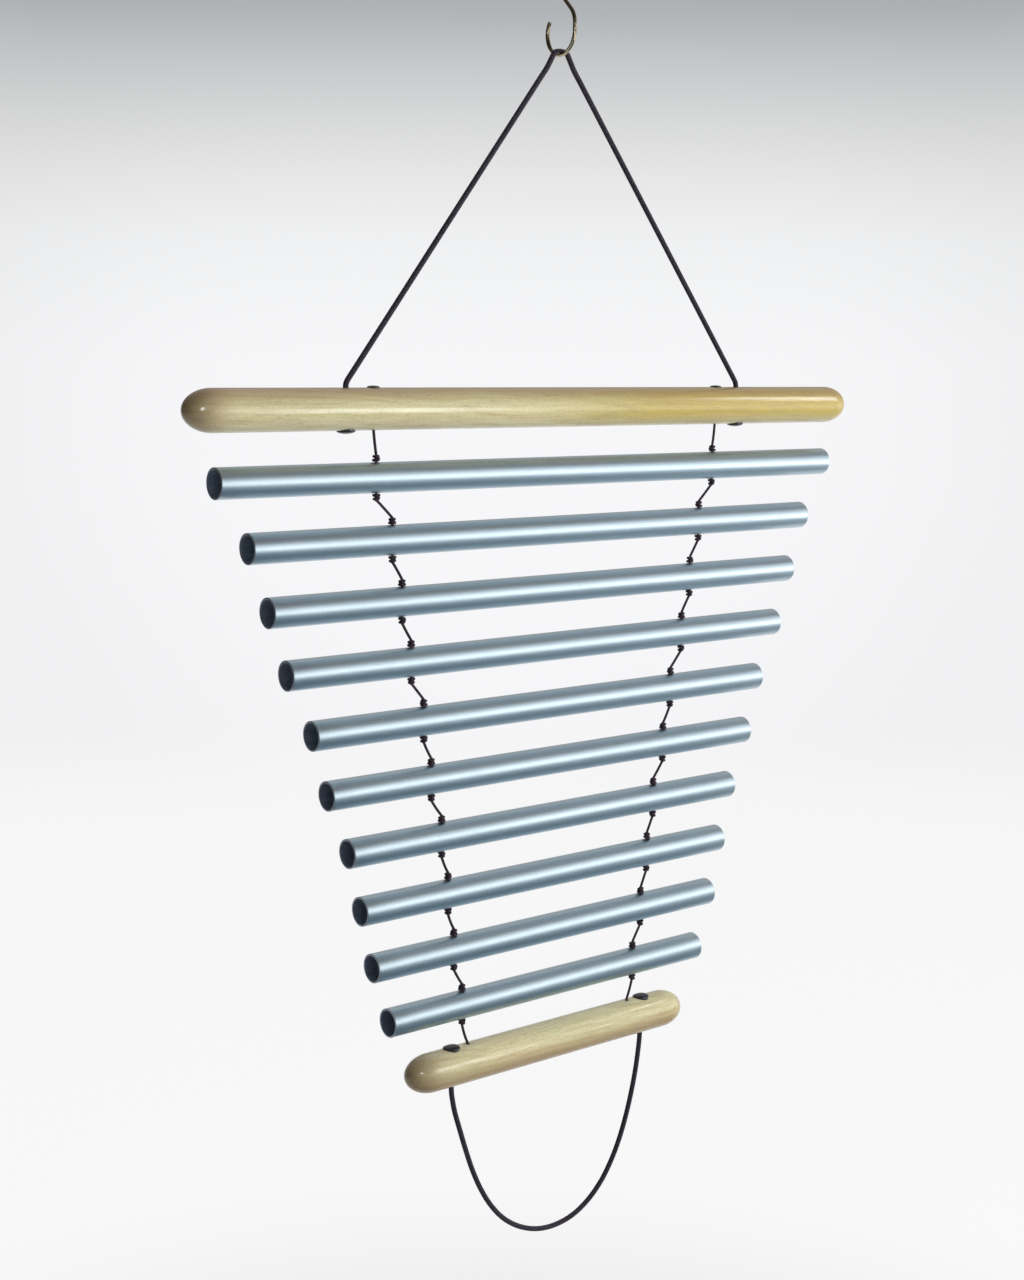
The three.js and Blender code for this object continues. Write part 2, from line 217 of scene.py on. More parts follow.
def turns(count: int) -> Array:
    """Equal steps round a circle, in radians from 0."""
    return np.linspace(0, 2 * np.pi, count, endpoint=False)


def rings_along(x: Array, radius: Array, sides: int) -> Array:
    """Rings round the X axis: (x, radius * cos turn, radius * sin turn).

    Args:
        x: Place of each ring.
        radius: Radius of each ring.
        sides: Points round a ring.

    Returns:
        A grid of rings by sides by three.
    """
    turn, wide = turns(sides), radius[:, None]
    return np.stack(np.broadcast_arrays(x[:, None], wide * np.cos(turn), wide * np.sin(turn)), 2)


def rings_upright(x: float, radius: Array, height: Array, sides: int) -> Array:
    """Rings round an upright axis: (x + radius * cos turn, radius * sin turn, height).

    Args:
        x: Place of the axis.
        radius: Radius of each ring, as a column.
        height: Height of each ring, as a column, or of each of its points.
        sides: Points round a ring.

    Returns:
        A grid of rings by sides by three.
    """
    turn = turns(sides)
    across, deep = x + radius * np.cos(turn), radius * np.sin(turn)
    return np.stack(np.broadcast_arrays(across, deep, height), 2)


def travelled(path: Array) -> Array:
    """Distance along a path at each of its points."""
    return np.concatenate([[0.0], np.cumsum(np.linalg.norm(np.diff(path, axis=0), axis=1))])


def evenly(path: Array, step: float) -> Array:
    """Resamples a path at equal distances along it.

    Args:
        path: Points by three.
        step: Wanted distance between points.

    Returns:
        The new points, which keep both ends.
    """
    distance = travelled(path)
    count = max(int(round(distance[-1] / step)), 2)
    places = np.linspace(0, distance[-1], count + 1)
    return np.stack([np.interp(places, distance, path[:, axis]) for axis in range(3)], 1)


def through(points: Array, per_stretch: int) -> Array:
    """Smooth curve through points: the centripetal Catmull-Rom spline.

    Each stretch between two points is the cubic with their places and with tangents that weigh the
    neighbouring chords by the square roots of their lengths.

    Args:
        points: Points by three.
        per_stretch: Samples in each stretch.

    Returns:
        The curve's samples, from the first point to the last.
    """
    p = np.vstack([2 * points[0] - points[1], points, 2 * points[-1] - points[-2]])
    length = np.linalg.norm(np.diff(p, axis=0), axis=1)
    chord = np.sqrt(np.maximum(length, NEARLY_NOTHING))[:, None]
    slope = np.diff(p, axis=0) / chord
    tangent = slope[:-1] - (p[2:] - p[:-2]) / (chord[:-1] + chord[1:]) + slope[1:]
    t = (np.arange(per_stretch) / per_stretch)[None, :, None]
    a, b = p[1:-2][:, None], p[2:-1][:, None]
    ta, tb = (tangent[:-1] * chord[1:-1])[:, None], (tangent[1:] * chord[1:-1])[:, None]
    curve = (
        a * (2 * t**3 - 3 * t**2 + 1) + ta * (t**3 - 2 * t**2 + t)
        + b * (3 * t**2 - 2 * t**3) + tb * (t**3 - t**2)
    )
    return np.vstack([curve.reshape(-1, 3), points[-1:]])


def softened(path: Array, width: int) -> Array:
    """Rounds a path's corners and keeps its ends: a moving mean with a raised cosine's weights.

    Args:
        path: Points by three, a step apart.
        width: Points that each mean takes in, an odd number.

    Returns:
        As many points by three.
    """
    weights = np.hanning(width + 2)[1:-1]
    weights /= weights.sum()
    half = width // 2
    lead = 2 * path[:1] - path[1:half + 1][::-1]
    trail = 2 * path[-1:] - path[-half - 1:-1][::-1]
    padded = np.vstack([lead, path, trail])
    return np.stack([np.convolve(padded[:, axis], weights, "valid") for axis in range(3)], 1)


def carried_frames(path: Array, start: Sequence[float]) -> tuple[Array, Array]:
    """Two directions square to a path at each point, carried along it without twist.

    Args:
        path: Points by three.
        start: Direction that the first one starts from.

    Returns:
        The two arrays of unit directions.
    """
    tangent = np.gradient(path, axis=0)
    tangent /= np.linalg.norm(tangent, axis=1, keepdims=True)
    normal = np.zeros_like(path)
    current = np.array(start, float)
    for station, direction in enumerate(tangent):
        current = current - (current @ direction) * direction
        current /= np.linalg.norm(current)
        normal[station] = current
    return normal, np.cross(tangent, normal)


def sweep(path: Array, radius: Array, sides: int, start: Sequence[float] = (0, 1, 0)) -> Surface:
    """Round section carried along a path: centre + radius * (cos * normal + sin * binormal).

    Args:
        path: Points by three.
        radius: Radius for each point, as a column, or for each point and side.
        sides: Points round the section.
        start: Direction of the section's first point.

    Returns:
        The surface, whose ends are as thin as the radius makes them.
    """
    normal, binormal = carried_frames(path, start)
    turn = turns(sides)[None, :, None]
    circle = np.cos(turn) * normal[:, None] + np.sin(turn) * binormal[:, None]
    return Surface(path[:, None] + radius[:, :, None] * circle, travelled(path))


def rounded_tips(path: Array, radius: float, rings: int) -> tuple[Array, Array]:
    """Adds a dome to both ends of a swept path: radius * cos angle, radius * sin angle further on.

    Args:
        path: Points by three.
        radius: Radius of the section.
        rings: Rings in each dome.

    Returns:
        The longer path and the radius at each of its points.
    """
    least = 0.02
    angle = np.linspace(0, np.pi / 2, rings + 1)[1:]
    out, thin = radius * np.sin(angle), radius * np.maximum(np.cos(angle), least)
    before = (path[0] - path[1]) / np.linalg.norm(path[0] - path[1])
    after = (path[-1] - path[-2]) / np.linalg.norm(path[-1] - path[-2])
    lead, trail = path[0] + out[::-1, None] * before, path[-1] + out[:, None] * after
    whole = np.vstack([lead, path, trail])
    return whole, np.concatenate([thin[::-1], np.full(len(path), radius), thin])


# Shader maths


def maths(operation: str, swapped: bool = False) -> Callable[..., "Shade"]:
    """Makes a method of a shade that adds one Math node.

    Args:
        operation: The node's operation.
        swapped: Whether the other value comes first, as in a reflected operator.

    Returns:
        The method, which takes another value where the operation does.
    """
    def method(shade: "Shade", other: "Value" = None) -> "Shade":
        """Adds the node and wraps its output."""
        pair = (shade,) if other is None else (other, shade) if swapped else (shade, other)
        return shade.bench.node("ShaderNodeMath", {"operation": operation}, dict(enumerate(pair)))

    return method


class Shade:
    """A node socket that can be used in arithmetic, which adds Math nodes to its tree."""

    def __init__(self, bench: "Bench", socket: Optional[bpy.types.NodeSocket]) -> None:
        """Wraps an output socket of a tree."""
        self.bench, self.socket = bench, socket

    __add__ = __radd__ = maths("ADD")
    __sub__, __rsub__ = maths("SUBTRACT"), maths("SUBTRACT", swapped=True)
    __mul__ = __rmul__ = maths("MULTIPLY")
    __pow__, __abs__, __gt__ = maths("POWER"), maths("ABSOLUTE"), maths("GREATER_THAN")
    sine, larger = maths("SINE"), maths("MAXIMUM")

    def between(self, low: float, high: float) -> "Shade":
        """Smooth step from zero at low to one at high."""
        values = {"Value": self, "From Min": low, "From Max": high}
        return self.bench.node("ShaderNodeMapRange", {"interpolation_type": "SMOOTHSTEP"}, values)

    def output(self, name: str) -> "Shade":
        """Another output of the same node."""
        return Shade(self.bench, self.socket.node.outputs[name])


Value = Union[Shade, Number, Sequence[float], None]


class Bench:
    """A node tree that nodes are added to, of a material or of the world."""

    def __init__(self, tree: bpy.types.NodeTree) -> None:
        """Clears the tree."""
        self.tree = tree
        tree.nodes.clear()

    def node(
        self,
        kind: str,
        settings: Optional[Mapping[str, object]] = None,
        sockets: Optional[Mapping[Union[int, str], Value]] = None,
        output: Union[int, str] = 0,
    ) -> Shade:
        """Adds a node.

        Args:
            kind: Type of the node.
            settings: Properties, set first. "stops" are a ramp's places and colours.
            sockets: Values or links of the inputs, by name or number.
            output: Output to return.

        Returns:
            The wrapped output.
        """
        made = self.tree.nodes.new(kind)
        for name, setting in (settings or {}).items():
            if name == "stops":
                self._stops(made.color_ramp, setting)
            else:
                setattr(made, name, setting)
        for name, value in (sockets or {}).items():
            if isinstance(value, Shade):
                self.tree.links.new(value.socket, made.inputs[name])
            else:
                made.inputs[name].default_value = value
        return Shade(self, made.outputs[output] if len(made.outputs) else None)

    @staticmethod
    def _stops(ramp: bpy.types.ColorRamp, stops: Sequence[tuple[float, Colour]]) -> None:
        """Sets a ramp's stops. It has two to begin with.

        Args:
            ramp: The ramp.
            stops: Places and colours, in order.
        """
        for place, _ in stops[2:]:
            ramp.elements.new(place)
        for element, (place, colour) in zip(ramp.elements, stops):
            element.position, element.color = place, (*colour, 1.0)

    def place(self, name: str = "Object") -> Shade:
        """Texture Coordinate output: "Object", "UV" or, in the world, "Generated"."""
        return self.node("ShaderNodeTexCoord", output=name)

    def axes(self, at: Shade) -> tuple[Shade, Shade, Shade]:
        """X, Y and Z of coordinates, each as a value."""
        apart = self.node("ShaderNodeSeparateXYZ", {}, {0: at})
        return apart, apart.output("Y"), apart.output("Z")

    def shifted(
        self, at: Shade, centre: Sequence[float], scale: Sequence[float] = (1, 1, 1),
    ) -> Shade:
        """Coordinates less a place, times a scale for each axis.

        Args:
            at: Coordinates.
            centre: The place.
            scale: The scale.

        Returns:
            The wrapped coordinates.
        """
        centred = self.node("ShaderNodeVectorMath", {"operation": "SUBTRACT"}, {0: at, 1: centre})
        return self.node("ShaderNodeVectorMath", {"operation": "MULTIPLY"}, {0: centred, 1: scale})

    def noise(
        self,
        at: Shade,
        scale: Union[Number, Sequence[float]],
        detail: float = 3.0,
        rough: float = 0.5,
        warp: float = 0.0,
        centre: Sequence[float] = (0, 0, 0),
    ) -> Shade:
        """Noise from 0 to 1.

        Args:
            at: Coordinates.
            scale: Waves in a metre, or those along each axis.
            detail: Octaves.
            rough: Share of each octave in the one before.
            warp: Distortion.
            centre: Place that a scale for each axis stretches the noise from.

        Returns:
            The wrapped output.
        """
        if not isinstance(scale, (int, float)):
            at, scale = self.shifted(at, centre, scale), 1
        sockets = {
            "Vector": at, "Scale": scale, "Detail": detail, "Roughness": rough, "Distortion": warp,
        }
        return self.node("ShaderNodeTexNoise", {}, sockets)

    def blend(
        self, amount: Value, first: Union[Shade, Colour], second: Union[Shade, Colour],
    ) -> Shade:
        """Colour between two colours, which are a Mix node's inputs 6 and 7 and its output 2.

        Args:
            amount: Share of the second colour.
            first: Colour where the amount is 0.
            second: Colour where it is 1.

        Returns:
            The wrapped colour.
        """
        pair = (colour if isinstance(colour, Shade) else (*colour, 1) for colour in (first, second))
        sockets = {0: amount, **dict(enumerate(pair, 6))}
        return self.node("ShaderNodeMix", {"data_type": "RGBA"}, sockets, output=2)

    def bump(self, height: Shade, distance: float, strength: float = 1.0) -> Shade:
        """Normal of a height from 0 to 1, for a relief of a depth in metres."""
        sockets = {"Height": height, "Distance": distance, "Strength": strength}
        return self.node("ShaderNodeBump", {}, sockets)


# Finishes


@dataclass(frozen=True)
class Finish:
    """A surface's finish. Most give the sockets of a principled shader."""

    def sockets(self, bench: Bench) -> dict[str, Value]:
        """Sockets of the principled shader, each a value or a link."""
        raise NotImplementedError

    def shader(self, bench: Bench) -> Shade:
        """Shader of the surface."""
        return bench.node("ShaderNodeBsdfPrincipled", {}, self.sockets(bench))

    def material(self, name: str) -> Material:
        """Makes the material of this finish.

        Args:
            name: Its name.

        Returns:
            The material.
        """
        made = bpy.data.materials.new(name)
        made.use_nodes = True
        bench = Bench(made.node_tree)
        bench.node("ShaderNodeOutputMaterial", {}, {"Surface": self.shader(bench)})
        return made


@dataclass(frozen=True)
class BrassFinish(Finish):
    """Aged brass wire: bright metal under a thin, uneven dark brown, partly tarnish and partly
    painted shade.
    """

    bright: Colour = (0.66, 0.60, 0.40)
    tarnished: Colour = (0.085, 0.060, 0.046)
    drawn: Colour = (0.12, 0.085, 0.05)

    def sockets(self, bench: Bench) -> dict[str, Value]:
        """Tarnish and painted shade in soft patches, with fine drawn lines in the colour and the
        gloss.

        Args:
            bench: Tree of the material.

        Returns:
            The principled shader's sockets, each a value or a link.
        """
        at = bench.place()
        patches = bench.noise(at, 35, detail=1, rough=0.3).between(0.1, 0.62) * 0.85
        lines = bench.noise(at, (4200, 70, 70), detail=2)
        # painted shade: the dark tarnish colour covers most of the wire, standing in for the dark
        # room that it reflects
        colour = bench.blend(patches, self.bright, self.tarnished)
        return {
            "Base Color": bench.blend(lines * 0.3, colour, self.drawn),
            "Metallic": 1.0,
            "Roughness": 0.2 + patches * 0.12 + lines * 0.04,
            "Normal": bench.bump(lines, 0.000002, 0.1),
        }


@dataclass(frozen=True)
class BraidFinish(Finish):
    """Braided cord: strands that cross in two directions, each of a few fine threads.

    Attributes:
        strands: Strands in each direction round the cord.
        pitch: Length of cord in which a strand moves on by one place.
        worn: Colour on top of the strands.
        deep: Colour between the strands, painted shade in the grooves.
        threads: Threads in each strand.
    """

    strands: int
    pitch: float
    worn: Colour
    deep: Colour = (0.012, 0.009, 0.015)
    threads: int = 4

    def sockets(self, bench: Bench) -> dict[str, Value]:
        """Pillows where strands cross, threads that follow the upper strand, and painted shade
        between the strands.

        Args:
            bench: Tree of the material.

        Returns:
            The principled shader's sockets, each a value or a link.
        """
        across, length, _ = bench.axes(bench.place("UV"))
        around, along = across * self.strands, length * (1 / self.pitch)
        rising, falling = around + along, around - along
        up, down = (rising * math.pi).sine(), (falling * math.pi).sine()
        pillow = abs(up * down) ** 0.5
        over = (up * down) > 0.0
        wave = 2 * self.threads * math.pi
        thread = (rising * wave).sine() * over + (falling * wave).sine() * (1 - over)
        fuzz = bench.noise(bench.place(), 2600, rough=0.7)
        wear = bench.noise(bench.place(), 60)
        relief = pillow * 0.7 + thread * 0.12 + fuzz * 0.3
        # painted shade: low places between the strands take the dark colour, and wear lightens the
        # rest
        amount = (relief * 0.75 + wear * 0.3 - 0.15).between(0.1, 0.95)
        return {
            "Base Color": bench.blend(amount, self.deep, self.worn),
            "Roughness": 0.62 + fuzz * 0.25,
            "Sheen Weight": 0.15,
            "Sheen Roughness": 0.5,
            "Sheen Tint": (0.55, 0.5, 0.62, 1),
            "Specular IOR Level": 0.35,
            "Normal": bench.bump(relief, 0.00022, 0.9),
        }


@dataclass(frozen=True)
class WoodFinish(Finish):
    """Pale lacquered hardwood with fine lengthwise grain.

    Attributes:
        centre: Place in the rail that the grain is laid out from.
        tilt: Slope of the growth layers along the rail, which draws out their figure.
        haze: Roughness of the lacquer.
        honey_from: Places along the rail where the warm tone starts and is full.
        middle: Height of the rail's axis.
        shoulder: Distance from the rail's middle at which its domed ends start.
        heart_way: Direction across the rail, as (y, z), of its browner side.
        heart_from: Distances that way at which the brown starts and is full.
        layers: Growth layers in a metre of height.
        pale: Colour of most of the wood.
        green: Greener tone in broad patches.
        honey: Warm tone of the right end.
        sap: Pale tone across from the browner side, partly sapwood and partly painted light.
        flame: Colour of the late wood, the fibres and the fleck.
        heart: Brown of the browner side, partly heartwood and partly painted shade.
        end_grain: Brown of the domed ends' end grain, and painted shade over the left dome.
        pore: Colour of the pores.
    """

    centre: tuple[float, float, float]
    tilt: float
    haze: float
    honey_from: tuple[float, float]
    middle: float
    shoulder: float
    heart_way: tuple[float, float]
    heart_from: tuple[float, float]
    layers: float = 190
    pale: Colour = (0.70, 0.64, 0.38)
    green: Colour = (0.62, 0.61, 0.35)
    honey: Colour = (0.50, 0.40, 0.085)
    sap: Colour = (0.80, 0.77, 0.56)
    flame: Colour = (0.36, 0.24, 0.10)
    heart: Colour = (0.34, 0.22, 0.13)
    end_grain: Colour = (0.19, 0.092, 0.056)
    pore: Colour = (0.16, 0.10, 0.05)

    def sockets(self, bench: Bench) -> dict[str, Value]:
        """Growth layers cut at a slant, fibres, fleck, short dark pores and a warmer right end.

        One side is browner, partly heartwood and partly painted shade, and the side across from it
        paler, partly sapwood and partly painted light. The domes' end grain is browner too, and the
        whole left dome is darkened further as painted shade.

        Args:
            bench: Tree of the material.

        Returns:
            The principled shader's sockets, each a value or a link.
        """
        at = bench.place()
        local = bench.shifted(at, self.centre)
        along, deep, high = bench.axes(local)
        swell = bench.noise(local, (6, 30, 30), warp=0.5)
        layer = along * (self.tilt * self.layers) + deep * 40 + high * self.layers + swell * 6.5
        late = ((layer * (2 * math.pi)).sine() * 0.5 + 0.5).between(0.3, 1.0)
        patchy = bench.noise(local, (14, 60, 60), rough=0.6, centre=(0.5, 0, 0)).between(0.35, 0.7)
        fibre = bench.noise(local, (40, 1000, 1000), detail=4, rough=0.7)
        fleck = bench.noise(local, (420, 1300, 1300), detail=2, rough=0.6).between(0.42, 0.66)
        pores = bench.noise(local, (130, 1500, 1500), detail=2).between(0.66, 0.74)
        tone = bench.noise(local, (8, 34, 34), detail=2, centre=(0.3, 0, 0)).between(0.35, 0.65)
        x, y, z = bench.axes(at)
        uneven = swell - 0.5
        warm = (x + uneven * 0.12).between(*self.honey_from)
        # painted shade and painted light, mixed with wood tone: one side across the rail browner, the
        # other paler
        back, up = self.heart_way
        rise = y * back + (z - self.middle) * up + uneven * 0.009
        ends = abs(x).between(self.shoulder + 0.006, self.shoulder + 0.0195)
        # painted shade: the whole left dome is darkened, as turned away from the light
        left = (x * -1 + uneven * 0.03).between(self.shoulder - 0.018, self.shoulder + 0.014)
        ground = bench.blend(tone, self.pale, self.green)
        ground = bench.blend(warm * 0.9, ground, self.honey)
        ground = bench.blend(rise.between(*self.heart_from) * 0.66, ground, self.heart)
        ground = bench.blend((rise * -1).between(0.003, 0.012) * 0.5, ground, self.sap)
        ground = bench.blend((ends * 0.55).larger(left * 0.52), ground, self.end_grain)
        figured = bench.blend(late * (patchy * 0.24 + 0.05), ground, self.flame)
        grain = fibre.between(0.36, 0.72) * 0.3 + fleck * 0.2
        grained = bench.blend(grain, figured, self.flame)
        return {
            "Base Color": bench.blend(pores * 0.5, grained, self.pore),
            "Roughness": 0.4 + fibre * 0.2,
            "Specular IOR Level": 0.12,
            "Coat Weight": 1.0,
            "Coat Roughness": self.haze,
            "Coat IOR": 1.33,
            "Normal": bench.bump(fibre * 0.6 + pores * -0.4 + late * 0.2, 0.00004, 0.3),
        }


@dataclass(frozen=True)
class AluminiumFinish(Finish):
    """Satin anodised aluminium, with the long fine lines that drawing leaves."""

    tint: Colour = (0.60, 0.72, 0.79)
    shaded: Colour = (0.46, 0.57, 0.64)
    nicked: Colour = (0.24, 0.27, 0.30)
    smooth: float = 0.33

    def sockets(self, bench: Bench) -> dict[str, Value]:
        """Lines along the tube, a fine speckle, a cloudy change of gloss, and a few small nicks.

        Args:
            bench: Tree of the material.

        Returns:
            The principled shader's sockets, each a value or a link.
        """
        at = bench.place()
        lines = bench.noise(at, (5, 1900, 1900), detail=4, rough=0.65)
        cloud = bench.noise(at, (9, 40, 40), rough=0.55)
        speckle = bench.noise(at, 1250, detail=2, rough=0.7)
        nicks = bench.noise(at, (240, 620, 620), detail=1).between(0.79, 0.83)
        shade = lines * 0.3 + cloud * 0.25 + speckle.between(0.35, 0.65) * 0.35
        colour = bench.blend(shade, self.tint, self.shaded)
        return {
            "Base Color": bench.blend(nicks * 0.45, colour, self.nicked),
            "Metallic": 1.0,
            "Roughness": self.smooth + lines * 0.05 + cloud * 0.06 + speckle * 0.06 + nicks * 0.15,
            "Normal": bench.bump(lines + speckle * 0.8 - nicks * 0.6, 0.00001, 0.35),
        }


@dataclass(frozen=True)
class CutFinish(Finish):
    """Sawn and eased rim of a tube, its dark metal partly painted shade."""

    # painted shade: the rim's metal is darker than the skin's, for the dark outline round the tube
    # ends
    metal: Colour = (0.26, 0.28, 0.32)
    sawn: Colour = (0.13, 0.14, 0.17)

    def sockets(self, bench: Bench) -> dict[str, Value]:
        """Fine saw marks across the rim.

        Args:
            bench: Tree of the material.

        Returns:
            The principled shader's sockets, each a value or a link.
        """
        marks = bench.noise(bench.place(), (900, 5200, 420))
        return {
            "Base Color": bench.blend(marks * 0.7, self.metal, self.sawn),
            "Metallic": 1.0,
            "Roughness": 0.28 + marks * 0.2,
            "Normal": bench.bump(marks, 0.00003, 0.4),
        }


@dataclass(frozen=True)
class BoreFinish(Finish):
    """Dull inside of a tube, greyed by the anodising and dust."""

    metal: Colour = (0.60, 0.68, 0.78)
    dusty: Colour = (0.28, 0.31, 0.36)

    def sockets(self, bench: Bench) -> dict[str, Value]:
        """Broad lines along the bore with dusty patches.

        Args:
            bench: Tree of the material.

        Returns:
            The principled shader's sockets, each a value or a link.
        """
        at = bench.place()
        lines = bench.noise(at, (6, 700, 700))
        dust = bench.noise(at, 140, detail=4, rough=0.6).between(0.45, 0.8)
        return {
            "Base Color": bench.blend(dust * 0.5 + lines * 0.3, self.metal, self.dusty),
            "Metallic": 0.85,
            "Roughness": 0.42 + dust * 0.25,
            "Normal": bench.bump(lines, 0.00004, 0.5),
        }


@dataclass(frozen=True)
class CapFinish(Finish):
    """Black moulded plastic, half gloss, with faint handling marks."""

    black: Colour = (0.010, 0.0105, 0.013)
    scuffed: Colour = (0.035, 0.036, 0.042)

    def sockets(self, bench: Bench) -> dict[str, Value]:
        """Fine texture and scuffs.

        Args:
            bench: Tree of the material.

        Returns:
            The principled shader's sockets, each a value or a link.
        """
        at = bench.place()
        grain = bench.noise(at, 3200, detail=2)
        scuffs = bench.noise(at, (380, 1500, 900), rough=0.7, warp=1.2).between(0.58, 0.74)
        return {
            "Base Color": bench.blend(scuffs * 0.6 + grain * 0.15, self.black, self.scuffed),
            "Roughness": 0.2 + grain * 0.08 + scuffs * 0.18,
            "Specular IOR Level": 0.55,
            "Normal": bench.bump(grain, 0.00002, 0.4),
        }


@dataclass(frozen=True)
class PaperFinish(Finish):
    """Pale studio paper of the floor, which fades out at its edge and is darker near the chime: a
    painted shadow.
    """

    paper: Colour = (0.86, 0.86, 0.87)
    # painted shadow: colour of the glow near the chime
    near: Colour = (0.74, 0.73, 0.77)
    far: Colour = (0.985, 0.985, 0.99)

    def shader(self, bench: Bench) -> Shade:
        """Paper under a glow that is only seen, reflected or looked at through glass, darker near the
        chime as a painted shadow.

        Args:
            bench: Tree of the material.

        Returns:
            The shader.
        """
        x, y, _ = bench.axes(bench.place())
        reach = (x * x + y * y) ** 0.5
        path = bench.node("ShaderNodeLightPath", output="Is Camera Ray")
        seen = path.larger(path.output("Is Glossy Ray")).larger(path.output("Is Transmission Ray"))
        paper = bench.node("ShaderNodeBsdfDiffuse", {}, {"Color": (*self.paper, 1)})
        # painted shadow: the glow darkens within about a metre of the chime
        colour = bench.blend(reach.between(0.25, 1.05), self.near, self.far)
        glow = bench.node("ShaderNodeEmission", {}, {"Color": colour, "Strength": 1.0})
        lit = bench.node("ShaderNodeMixShader", {}, {0: seen * 0.92, 1: paper, 2: glow})
        clear = bench.node("ShaderNodeBsdfTransparent")
        return bench.node("ShaderNodeMixShader", {}, {0: reach.between(2.2, 4.2), 1: lit, 2: clear})


@dataclass(frozen=True)
class CardFinish(Finish):
    """Glowing card that only reflections see: a painted reflection, dark teal under the tubes, paler
    to its right.
    """

    dark: Colour = (0.115, 0.165, 0.20)
    pale: Colour = (0.32, 0.365, 0.40)

    def shader(self, bench: Bench) -> Shade:
        """Even glow of its colour.

        Args:
            bench: Tree of the material.

        Returns:
            The shader.
        """
        x, _, _ = bench.axes(bench.place())
        colour = bench.blend(x.between(0.1, 1.0), self.dark, self.pale)
        return bench.node("ShaderNodeEmission", {}, {"Color": colour, "Strength": 1.0})


# Lines: cord and string


@dataclass(frozen=True)
class Line:
    """Cord or string, with the sizes of what is tied in it and of its holes and caps.

    Attributes:
        slot: Slot of the record.
        radius: Half its thickness.
        sides: Points round its section.
        step: Distance between sections.
        strands: Strands of its braid in each direction.
        pitch: Length in which a strand moves on by one place.
        relief: Depth of the braid.
        worn: Colour on top of its strands.
        knot_width: Width of a stopper knot.
        knot_height: Height of a stopper knot.
        mouth: Radius of the holes that it goes into.
        inset: Depth in a rail at which its fixed end starts.
        cap_radius: Radius of the cap over its knot.
        cap_rise: Height of the middle of that cap above the rail.
    """

    slot: Slot
    radius: float
    sides: int
    step: float
    strands: int
    pitch: float
    relief: float
    worn: Colour
    knot_width: float
    knot_height: float
    mouth: float
    inset: float
    cap_radius: float
    cap_rise: float

    def material(self, name: str) -> Material:
        """Material of this line."""
        return BraidFinish(self.strands, self.pitch, self.worn).material(name)

    def surface(self, path: Array, flat: Optional[Array] = None) -> Surface:
        """Braided tube along a path.

        The radius is swollen where strands cross: radius + relief * (root of |sin a * sin b| less
        its mean), with a and b the places of the rising and the falling strands. Where flat is
        above zero the section is squeezed towards the path's inner side and spreads sideways.

        Args:
            path: Points by three, a step apart.
            flat: How far the section is flattened at each point, from 0 to 1.

        Returns:
            The surface.
        """
        mean, spread, squeeze = 0.6, 0.22, 0.3
        whole, radius = rounded_tips(path, self.radius, rings=5)
        around = (np.arange(self.sides) / self.sides * self.strands)[None]
        shift = (travelled(whole) / self.pitch)[:, None]
        rising, falling = np.sin(np.pi * (around + shift)), np.sin(np.pi * (around - shift))
        swell = self.relief * (np.sqrt(np.abs(rising * falling)) - mean)
        made = sweep(whole, radius[:, None] + swell * (radius / self.radius)[:, None], self.sides)
        if flat is not None:
            normal, binormal = (way[:, None] for way in carried_frames(whole, (0, 1, 0)))
            amount = np.pad(flat, (len(whole) - len(flat)) // 2, "edge")[:, None, None]
            offset = made.points - whole[:, None]
            across = (offset * normal).sum(2, keepdims=True) * (1 + spread * amount)
            inward = (offset * binormal).sum(2, keepdims=True) * (1 - squeeze * amount)
            made.points = whole[:, None] + across * normal + inward * binormal
        return made

    def overhand(self, centre: Sequence[float], turn: float, flare: float = 0.0) -> Array:
        """Line of a tight overhand knot from its top to its underside.

        It goes down beside the axis, makes two turns round it of radius knot width / 2 - line
        radius, each nearly level, with a smooth step up between them, and goes down again on the
        other side.

        Args:
            centre: Middle of the knot.
            turn: Turn about the upright, in radians.
            flare: Share by which the lowest turn is wider, and the highest one narrower.

        Returns:
            Points by three.
        """
        core_share, climb_from, climb_over, finer = 0.3, 0.3, 0.4, 0.8
        out, high = self.knot_width / 2 - self.radius, self.knot_height / 2 - self.radius
        core, top = out * core_share, self.knot_height / 2
        down, climb = np.linspace(0, 1, 9)[:, None], np.linspace(0, 1, 60)[:, None]
        angle, spread = np.pi * (1 + 4 * climb), out * (1 + flare * (1 - 2 * climb))
        step = np.clip((climb - climb_from) / climb_over, 0, 1)
        level = high * (2 * step**2 * (3 - 2 * step) - 1)
        coil = np.hstack([spread * np.cos(angle), spread * np.sin(angle), level])
        aside, drop = core * np.sin(down * np.pi), (top + high) * down
        first = np.hstack([-aside, 0 * down, top - drop])
        second = np.hstack([aside, 0 * down, high - drop])
        path = softened(evenly(np.vstack([first, coil, second]), self.step * finer), width=5)
        cos, sin = math.cos(turn), math.sin(turn)
        return path @ np.array([[cos, sin, 0], [-sin, cos, 0], [0, 0, 1]]) + np.array(centre)


THICK = Line(
    Slot.CORD, radius=0.00175, sides=32, step=0.00045, strands=8, pitch=0.0026, relief=0.00011,
    worn=(0.060, 0.047, 0.078), knot_width=0.0086, knot_height=0.0056, mouth=0.0022, inset=0.0006,
    cap_radius=0.0058, cap_rise=0.0019,
)
THIN = Line(
    Slot.STRING, radius=0.0009, sides=12, step=0.00034, strands=6, pitch=0.0015, relief=0.00004,
    worn=(0.090, 0.050, 0.072), knot_width=0.0052, knot_height=0.0042, mouth=0.0014, inset=0.0016,
    cap_radius=0.004, cap_rise=0.0012,
)


